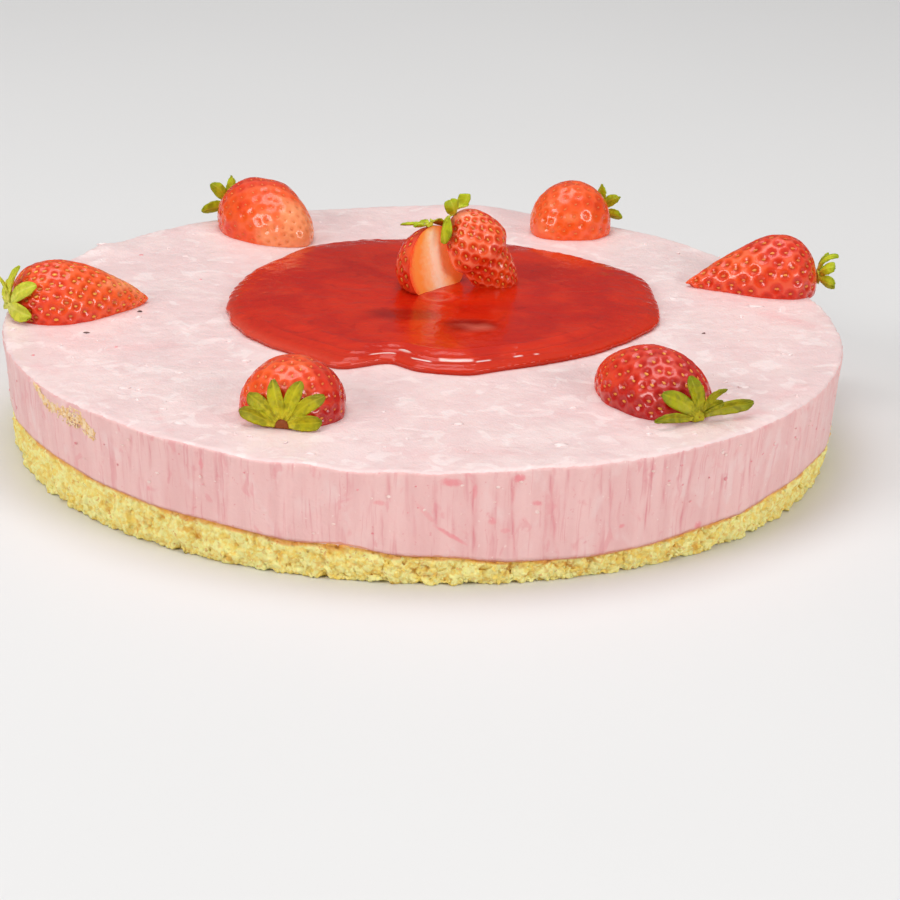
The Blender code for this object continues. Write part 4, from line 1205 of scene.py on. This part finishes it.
def fruit_girth(berry, share):
    """Girth of a strawberry from 0 to 1, at a share of its length from calyx to tip."""
    bend = math.log(0.5) / math.log(berry["widest"])
    inside = np.sin(math.pi * np.clip(share, 0.0, 1.0) ** bend)
    return np.maximum(inside, 0.0) ** berry["blunt"]


def skin_points(berry, seed, share, turn):
    """Points of the smooth skin, at shares of the length and angles round the axis."""
    share, turn = np.broadcast_arrays(share, turn)
    pole = 1.0 - 2.0 * share
    ring = np.sqrt(np.maximum(1.0 - pole ** 2, 0.0))
    place = np.stack([2.2 * pole, ring * np.cos(turn), ring * np.sin(turn) + seed], -1)
    lump = 1.0 + 0.05 * noise_at(place, 1.0)
    girth = fruit_girth(berry, share) * lump
    side = berry["width"] * girth * np.cos(turn)
    rise = berry["height"] * girth * np.sin(turn)
    return np.stack([fruit_length(berry) * share, side, rise], -1)


def narrowed(points, berry, spot):
    """Local points of a standing half, drawn in towards its foot in the jelly."""
    if "tip" in berry:
        return points
    foot = (np.array(spot.inverted()) @ np.array([*JELLY_CENTRE, JELLY_TOP, 1.0]))[0]
    low = smooth_step(points[..., 0], foot - 0.0042, foot + 0.0010)
    slim = (1.0 - FOOT_DRAWN_IN * low ** 2)[..., None]
    return np.concatenate([points[..., :1], points[..., 1:] * slim], axis=-1)


def in_cake(points, spot):
    """Local points of a fruit in the cake's frame."""
    matrix = np.array(spot)
    return points @ matrix[:3, :3].T + matrix[:3, 3]


def skin_in_cake(berry, seed, spot, share, turn):
    """Points of the smooth skin in the cake's frame."""
    return in_cake(narrowed(skin_points(berry, seed, share, turn), berry, spot), spot)


def seed_spacing(share):
    """Distance between seeds: wide round the middle, close at the calyx and the tip."""
    close, wide = SEED_SPACING
    middle = np.clip(np.sin(math.pi * np.clip(share, 0.0, 1.0) ** 0.85), 0.0, 1.0) ** 0.8
    return close + (wide - close) * middle


def dimple_reach(berry, share):
    """Radius of the dimples at a share of the length."""
    return DIMPLE_REACH * berry.get("open", 1.0) * seed_spacing(share)


def dimple_depth(berry, reach):
    """Depth of dimples of a radius."""
    return DIMPLE_DEPTH * berry.get("dimpled", 1.0) * np.sqrt(reach / USUAL_REACH)


def seed_spots(berry, seed, whole):
    """Shares and angles of the seeds: a spiral that spreads them evenly over the skin."""
    share = np.linspace(0.0, 1.0, 400)
    girth = fruit_girth(berry, share) * 0.5 * (berry["width"] + berry["height"])
    slope = np.gradient(girth, share) / fruit_length(berry)
    area = girth * np.sqrt(1.0 + slope ** 2) * math.tau * fruit_length(berry) / len(share)
    number = np.cumsum(area / (0.87 * (berry.get("open", 1.0) * seed_spacing(share)) ** 2))
    count = int(number[-1])
    rng = np.random.default_rng(int(seed) + 100)
    where = np.interp(np.arange(count) + 0.5 + rng.normal(0.0, 0.10, count), number, share)
    turn = np.arange(count) * GOLDEN_ANGLE + rng.normal(0.0, 0.035, count)
    turn = turn % math.tau
    kept = (where > 0.03) & (where < 0.975)
    if not whole:
        kept &= (turn > 0.12) & (turn < math.pi - 0.12)
    return where[kept], turn[kept]


def berry_loop(whole):
    """Angles round a fruit's section, close together where the skin shows."""
    if whole:
        return np.radians(np.concatenate([np.linspace(-24.0, 204.0, 126), np.linspace(211.0, 329.0, 18)]))
    return np.radians(np.linspace(0.0, 180.0, 110))


def berry_mesh(name, berry, seed, spot, whole):
    """The smooth closed form of a cut strawberry, in the cake's frame."""
    share = 0.5 * (1.0 - np.cos(np.linspace(0.035, math.pi - 0.02, BERRY_RINGS)))[:, None]
    turn = berry_loop(whole)[None, :]
    rings = skin_points(berry, seed, share, turn)
    if not whole:
        across = np.linspace(1.0, -1.0, 40)[1:-1][None, :, None]
        first, last = rings[:, :1], rings[:, -1:]
        middle, half = 0.5 * (first + last), 0.5 * (first - last)
        chord = middle - across * half
        chord[..., 2] = 0.0
        rings = np.concatenate([rings, chord], axis=1)
    mesh = closed_rings(name, in_cake(narrowed(rings, berry, spot), spot))
    bm = bmesh.new()
    bm.from_mesh(mesh)
    bpy.data.meshes.remove(mesh)
    level = CAKE_HEIGHT - 0.0006 if whole else JELLY_TOP - SINK
    bmesh.ops.bisect_plane(bm, geom=bm.verts[:] + bm.edges[:] + bm.faces[:], dist=1e-7,
                           plane_co=(0.0, 0.0, level), plane_no=(0.0, 0.0, -1.0), clear_outer=True)
    bmesh.ops.edgeloop_fill(bm, edges=[edge for edge in bm.edges if edge.is_boundary])
    bmesh.ops.recalc_face_normals(bm, faces=bm.faces)
    mesh = bpy.data.meshes.new(name)
    bm.to_mesh(mesh)
    bm.free()
    return mesh


def seed_shape():
    """The points and faces of one seed: a drop with its point towards local +X."""
    bm = bmesh.new()
    bmesh.ops.create_uvsphere(bm, u_segments=7, v_segments=5, radius=1.0)
    bmesh.ops.triangulate(bm, faces=bm.faces)
    points = np.array([vertex.co[:] for vertex in bm.verts])[:, [2, 0, 1]]
    faces = np.array([[vertex.index for vertex in face.verts] for face in bm.faces])
    bm.free()
    taper = 1.0 - 0.35 * np.clip(points[:, :1] + 0.2, 0.0, 1.2)
    points[:, 1:] *= taper
    return points, faces


def seeds_mesh(place, berry, seed, spot, share, turn, floor):
    """The seeds that show, each sunk into its dimple with its point towards the tip."""
    centres = skin_in_cake(berry, seed, spot, share, turn)
    axis = centres - skin_in_cake(berry, seed, spot, share - 0.01, turn)
    across = skin_in_cake(berry, seed, spot, share, turn + 0.02) - centres
    out_way = np.cross(axis, across)
    for vectors in (axis, across, out_way):
        vectors /= np.maximum(np.linalg.norm(vectors, axis=1, keepdims=True), 1e-9)
    middle = in_cake(np.array([[0.45 * fruit_length(berry), 0.0, 0.0]]), spot)
    out_way *= np.sign(((centres - middle) * out_way).sum(1, keepdims=True))
    shape, faces = seed_shape()
    deep = dimple_depth(berry, dimple_reach(berry, share))
    rng = np.random.default_rng(int(seed) + 200)
    parts = []
    for index in np.nonzero(centres[:, 2] > floor + 0.0005)[0]:
        size = np.array(SEED_SIZE) * rng.uniform(0.85, 1.15) * berry.get("seeds", 1.0)
        axes = np.stack([axis[index] * size[0], across[index] * size[1], out_way[index] * size[2]])
        sunk = 0.80 * deep[index] - 0.00012
        parts.append((shape @ axes + centres[index] - out_way[index] * sunk, faces))
    return joined_mesh("seeds_" + place, parts)


def distance_to_nearest(points, centres):
    """How far each point is from the nearest centre."""
    tree = kdtree.KDTree(len(centres))
    for index, centre in enumerate(centres):
        tree.insert(centre, index)
    tree.balance()
    return np.array([tree.find(point)[2] for point in points])


def ripeness_and_painted_shade(berry, points, along, floor):
    """How ripe the skin is at its points in the cake's frame, with painted shade laid in as riper colour
    near the foot and on one side.
    """
    start, end = berry.get("ripening", (0.15, 0.90))
    at_calyx, at_tip = berry["ripe"]
    ripe = at_calyx + (at_tip - at_calyx) * smooth_step(along, start, end)
    # Painted shade near the foot, laid in as riper colour.
    ripe += berry.get("shade", 0.0) * smooth_step(-points[:, 2], -floor - 0.0075, -floor - 0.001)
    # Painted shade on one side between two x, laid in as riper colour.
    start, end, side_shade = berry.get("painted_side_shade", (0.0, 1.0, 0.0))
    return ripe + side_shade * smooth_step(points[:, 0], start, end)


def build_berry(place, berry, seed, materials):
    """One strawberry: dimpled skin, seeds in the dimples and a cut face."""
    whole = "tip" in berry
    spot = berry_matrix(berry)
    mesh = berry_mesh("berry_" + place, berry, seed, spot, whole)
    share, turn = seed_spots(berry, seed, whole)
    points = points_of(mesh)
    normals = points_of(mesh, "normal")
    back = np.array(spot.inverted())
    local = points @ back[:3, :3].T + back[:3, 3]
    away = distance_to_nearest(points, skin_in_cake(berry, seed, spot, share, turn))
    floor = CAKE_HEIGHT if whole else JELLY_TOP
    skin = smooth_step(points[:, 2], floor - 0.0003, floor + 0.0006)
    if not whole:
        skin *= smooth_step(local[:, 2], 0.00001, 0.0009)
    along = np.clip(local[:, 0] / fruit_length(berry), 0.0, 1.0)
    reach = dimple_reach(berry, along)
    # The dimples' mask: it shapes them and also paints shade into them.
    pit_and_painted_shade = (1.0 - smooth_step(away / reach, 0.12, 1.00)) * skin
    # Painted highlight along the ridges between the dimples.
    net_painted_highlight = smooth_step(away / reach, 0.80, 1.12) * skin
    ridge = 0.00010 * noise_at(points, 0.0022, 3.0) * skin
    points += normals * (0.00012 * skin + ridge - dimple_depth(berry, reach) * pit_and_painted_shade)[:, None]
    mesh.vertices.foreach_set("co", points.ravel())
    girth = np.maximum(fruit_girth(berry, along), 0.05) * berry["width"]
    out = np.maximum(np.abs(local[:, 1]) / girth, smooth_step(np.abs(along - 0.42), 0.34, 0.46))
    cut_way = -spot.col[2].to_3d()
    flats = [not whole and face.normal.dot(cut_way) > 0.995 for face in mesh.polygons]

    seeds = seeds_mesh(place, berry, seed, spot, share, turn, floor)
    joined = bmesh.new()
    joined.from_mesh(mesh)
    joined.from_mesh(seeds)
    done = bpy.data.meshes.new("berry_" + place)
    joined.to_mesh(done)
    joined.free()
    slots = np.full(len(done.polygons), 2, dtype=np.int32)
    slots[:len(flats)] = flats
    bpy.data.meshes.remove(mesh)
    bpy.data.meshes.remove(seeds)
    # Painted shade in the dimples, for the colour.
    add_attribute(done, "pit_and_painted_shade", pit_and_painted_shade * berry.get("dimpled", 1.0) ** 1.5)
    add_attribute(done, "net_painted_highlight", net_painted_highlight * berry.get("painted_net_highlight", 0.15))
    add_attribute(done, "dull", np.full(len(done.vertices), berry.get("dull", 0.0)))
    # This colour also carries the painted shade near the foot and on one side.
    add_attribute(done, "ripe", ripeness_and_painted_shade(berry, points, along, floor))
    add_attribute(done, "out", np.clip(out, 0.0, 1.0))
    add_piece("strawberry_" + place, done, materials, "strawberry", "berry_" + place)
    done.polygons.foreach_set("material_index", slots)
    done.set_sharp_from_angle(angle=math.radians(50))


def leaf_point(berry, direction, reach, aside, bend, twist):
    """A point of a leaf, at a reach along its curling midrib and aside from it."""
    turn = math.radians(direction)
    radial = Vector((0.0, math.cos(turn), math.sin(turn)))
    tangent = Vector((0.0, -math.sin(turn), math.cos(turn)))
    curl = bend * max(reach, 1e-6) / LEAF_CURL_LENGTH
    out = reach * math.sin(curl) / curl
    back = reach * (1.0 - math.cos(curl)) / curl
    turned = math.radians(twist) * min(1.0, 3.0 * reach / LEAF_CURL_LENGTH)
    point = radial * (HUB_RADIUS + out) + tangent * aside * math.cos(turned)
    point.x = -HUB_STAND_OFF + back - LEAF_CUPPING * math.hypot(aside, 0.0002) + aside * math.sin(turned)
    if point.x > -HUB_STAND_OFF:
        length = fruit_length(berry)
        near = (point.x / length, point.x / length + 0.03)
        girth = max(float(fruit_girth(berry, share)) for share in near)
        clear = girth * max(berry["width"], berry["height"]) * 1.03 + LEAF_CLEARANCE
        across = math.hypot(point.y, point.z)
        if across < clear:
            point.y *= clear / across
            point.z *= clear / across
    return point


def keep_in_box(point):
    """Move a point of a leaf back inside the solids' box."""
    point.x = min(max(point.x, CAD_BOX[0][0] + BOX_MARGIN), CAD_BOX[1][0] - BOX_MARGIN)
    point.z = min(point.z, CAD_BOX[1][2] - BOX_MARGIN)


def build_leaves(place, berry, number, green):
    """The leaves of one strawberry."""
    spot = berry_matrix(berry)
    whole = "tip" in berry
    pointed, blunt = smooth_curve(LEAF_OUTLINE, 3), smooth_curve(ROUND_OUTLINE, 3)
    rng = np.random.default_rng(300 + number)
    twists = berry.get("twist", (0,) * len(berry["leaves"]))
    bm = bmesh.new()
    along_layer = bm.verts.layers.float.new("along")
    aside_layer = bm.verts.layers.float.new("aside")

    def corner(point, along, side):
        if not whole:
            point.z = max(point.z, 0.0)
        world = spot @ point
        if whole:
            world.z = max(world.z, CAKE_HEIGHT + 0.0004)
        keep_in_box(world)
        vertex = bm.verts.new(world)
        vertex[along_layer] = along
        vertex[aside_layer] = abs(side)
        return vertex

    for index, (direction, reach, half_width, bend) in enumerate(berry["leaves"]):
        rows = []
        roundness = berry.get("round", rng.uniform(0.0, 0.45))
        fold, sway, lean = rng.uniform(0.10, 0.45), rng.uniform(2.0, 6.0), rng.uniform(-0.25, 0.25)
        for (share, slim), (_, full) in zip(pointed, blunt):
            fullness = slim + (full - slim) * roundness
            row = []
            for side in np.linspace(-1.0, 1.0, LEAF_COLUMNS):
                aside = side * half_width * max(fullness, 0.02)
                place_on = (9.0 * share + 3.0 * index, 2.0 * side, 5.0 * number)
                wave = 0.00045 * berry.get("rumpled", 1.0) * noise.noise(place_on) * (0.3 + 0.7 * abs(side))
                turned = direction + sway * math.sin(3.0 * share + index)
                point = leaf_point(berry, turned, reach * share, aside, bend, twists[index])
                point.x += wave - 0.0002 * (index % 2) - fold * abs(aside) + lean * aside * share
                row.append(corner(point, share, side))
            rows.append(row)
        for row, after in zip(rows, rows[1:]):
            for one, two, three, four in zip(row, row[1:], after[1:], after):
                bm.faces.new((one, two, three, four))
    mesh = bpy.data.meshes.new("calyx_" + place)
    bm.to_mesh(mesh)
    bm.free()
    calyx = add_piece("leaves_" + place, mesh, [green], "calyx", "calyx_" + place)
    thick = calyx.modifiers.new("thickness", "SOLIDIFY")
    thick.thickness = LEAF_THICKNESS
    thick.offset = 0.0


def build_knob(place, berry, number, green):
    """The knob that the leaves of one strawberry grow from, with its brown scar."""
    spot = berry_matrix(berry)
    whole = "tip" in berry
    scarred = berry.get("scar", 0.45)
    wide = berry.get("knob", KNOB_RADIUS)
    bm = bmesh.new()
    scar_layer = bm.verts.layers.float.new("scar")
    bmesh.ops.create_uvsphere(bm, u_segments=24, v_segments=16, radius=1.0)
    for vertex in bm.verts:
        across, up, pole = vertex.co
        ring = math.hypot(across, up)
        point = Vector((-HUB_STAND_OFF + 0.0001 - 0.0006 * pole, wide * across, wide * up))
        point += Vector(noise.noise_vector(vertex.co * 2.0 + Vector((5.0 * number, 0.0, 0.0)))) * 0.00035
        if pole > 0.0:
            point.x += 0.0003 * (1.0 - smooth_step(ring, 0.0, scarred))
            vertex[scar_layer] = 1.0 - smooth_step(ring, 0.6 * scarred, 1.2 * scarred)
        if not whole:
            point.z = max(point.z, 0.0)
        vertex.co = spot @ point
        if whole:
            vertex.co.z = max(vertex.co.z, CAKE_HEIGHT + 0.0002)
        keep_in_box(vertex.co)
    mesh = bpy.data.meshes.new("knob_" + place)
    bm.to_mesh(mesh)
    bm.free()
    add_piece("knob_" + place, mesh, [green], "calyx", "calyx_" + place)


def build_fruit():
    """All the strawberries with their leaves."""
    materials = [skin_look(), flesh_look(), seed_look()]
    greens = {kind: leaf_look("leaf_" + kind, *[linear(*rgb) for rgb in colours])
              for kind, colours in LEAF_COLOURS.items()}
    for first_seed, first_number, berries in ((0.0, 0, RIM_BERRIES), (31.0, 10, CENTRE_BERRIES)):
        for index, (place, berry) in enumerate(berries.items()):
            number, green = first_number + index, greens[LEAF_KINDS.get(place, "bright")]
            build_berry(place, berry, first_seed + 3.0 * index, materials)
            build_leaves(place, berry, number, green)
            build_knob(place, berry, number, green)


def build_floor():
    """A plain pale floor."""
    bpy.ops.mesh.primitive_plane_add(size=8.0, location=(0.0, 0.0, -0.0001))
    floor = bpy.context.object
    floor.name = "floor"
    look = Look("floor", Roughness=0.6, Specular_IOR_Level=0.2)
    look.set("Base Color", look.mix(look.noise(0.3, 3.0), tint("floor"), tint("floor_pale")))
    floor.data.materials.append(look.material)


def add_light(name, place, size, power, colour=(1.0, 1.0, 1.0)):
    """A soft box that faces the cake."""
    data = bpy.data.lights.new(name, "AREA")
    data.shape = "RECTANGLE"
    data.size, data.size_y = size
    data.energy = power
    data.color = colour
    lamp = bpy.data.objects.new(name, data)
    lamp.location = place
    lamp.rotation_euler = (-Vector(place)).to_track_quat("-Z", "Y").to_euler()
    bpy.context.scene.collection.objects.link(lamp)


def build_light():
    """Soft light from above and the left, with a weak dome that is dim near the horizon."""
    world = bpy.data.worlds.new("studio")
    bpy.context.scene.world = world
    world.use_nodes = True
    tree = world.node_tree
    background = tree.nodes["Background"]
    place = tree.nodes.new("ShaderNodeTexCoord")
    split = tree.nodes.new("ShaderNodeSeparateXYZ")
    rise = tree.nodes.new("ShaderNodeMapRange")
    rise.inputs["From Min"].default_value = 0.35
    rise.inputs["From Max"].default_value = 0.95
    blend = tree.nodes.new("ShaderNodeMix")
    blend.data_type = "RGBA"
    blend.inputs["A"].default_value = (0.14, 0.14, 0.145, 1.0)
    blend.inputs["B"].default_value = (0.62, 0.62, 0.62, 1.0)
    tree.links.new(place.outputs["Generated"], split.inputs["Vector"])
    tree.links.new(split.outputs["Z"], rise.inputs["Value"])
    tree.links.new(rise.outputs["Result"], blend.inputs["Factor"])
    tree.links.new(blend.outputs["Result"], background.inputs["Color"])
    background.inputs["Strength"].default_value = 1.0
    add_light("overhead", (-0.12, 0.15, 1.12), (0.9, 0.7), 6.1)
    add_light("front_left", (-0.95, -0.82, 0.66), (0.60, 0.45), 7.6)
    add_light("front_right", (1.00, -0.85, 0.58), (0.50, 0.40), 7.5)
    bpy.context.scene.view_settings.view_transform = "Standard"


def build_camera():
    """The photograph's camera: 140 mm lens, 20 degrees above the horizon, rolled 1.7 degrees."""
    elevation = 0.353493487
    distance = 0.974971316
    target = Vector((0.00827023431, 0.0, -0.00515263455))
    data = bpy.data.cameras.new("camera")
    data.lens = 140.0
    data.sensor_width = 36.0
    data.clip_start = 0.01
    camera = bpy.data.objects.new("camera", data)
    place = target + Vector((0.0, -math.cos(elevation), math.sin(elevation))) * distance
    tilt = Matrix.Rotation(math.pi / 2 - elevation, 4, "X")
    camera.matrix_world = Matrix.Translation(place) @ tilt @ Matrix.Rotation(0.0294968006, 4, "Z")
    bpy.context.scene.collection.objects.link(camera)
    bpy.context.scene.camera = camera


def main():
    """Build the whole scene."""
    biscuit = biscuit_look()
    side = build_base(biscuit)
    build_loose_crumbs(side, biscuit)
    build_crumb_smear()
    build_filling(filling_look())
    build_bits()
    build_jelly(jelly_look())
    build_fruit()
    build_floor()
    build_light()
    build_camera()


main()
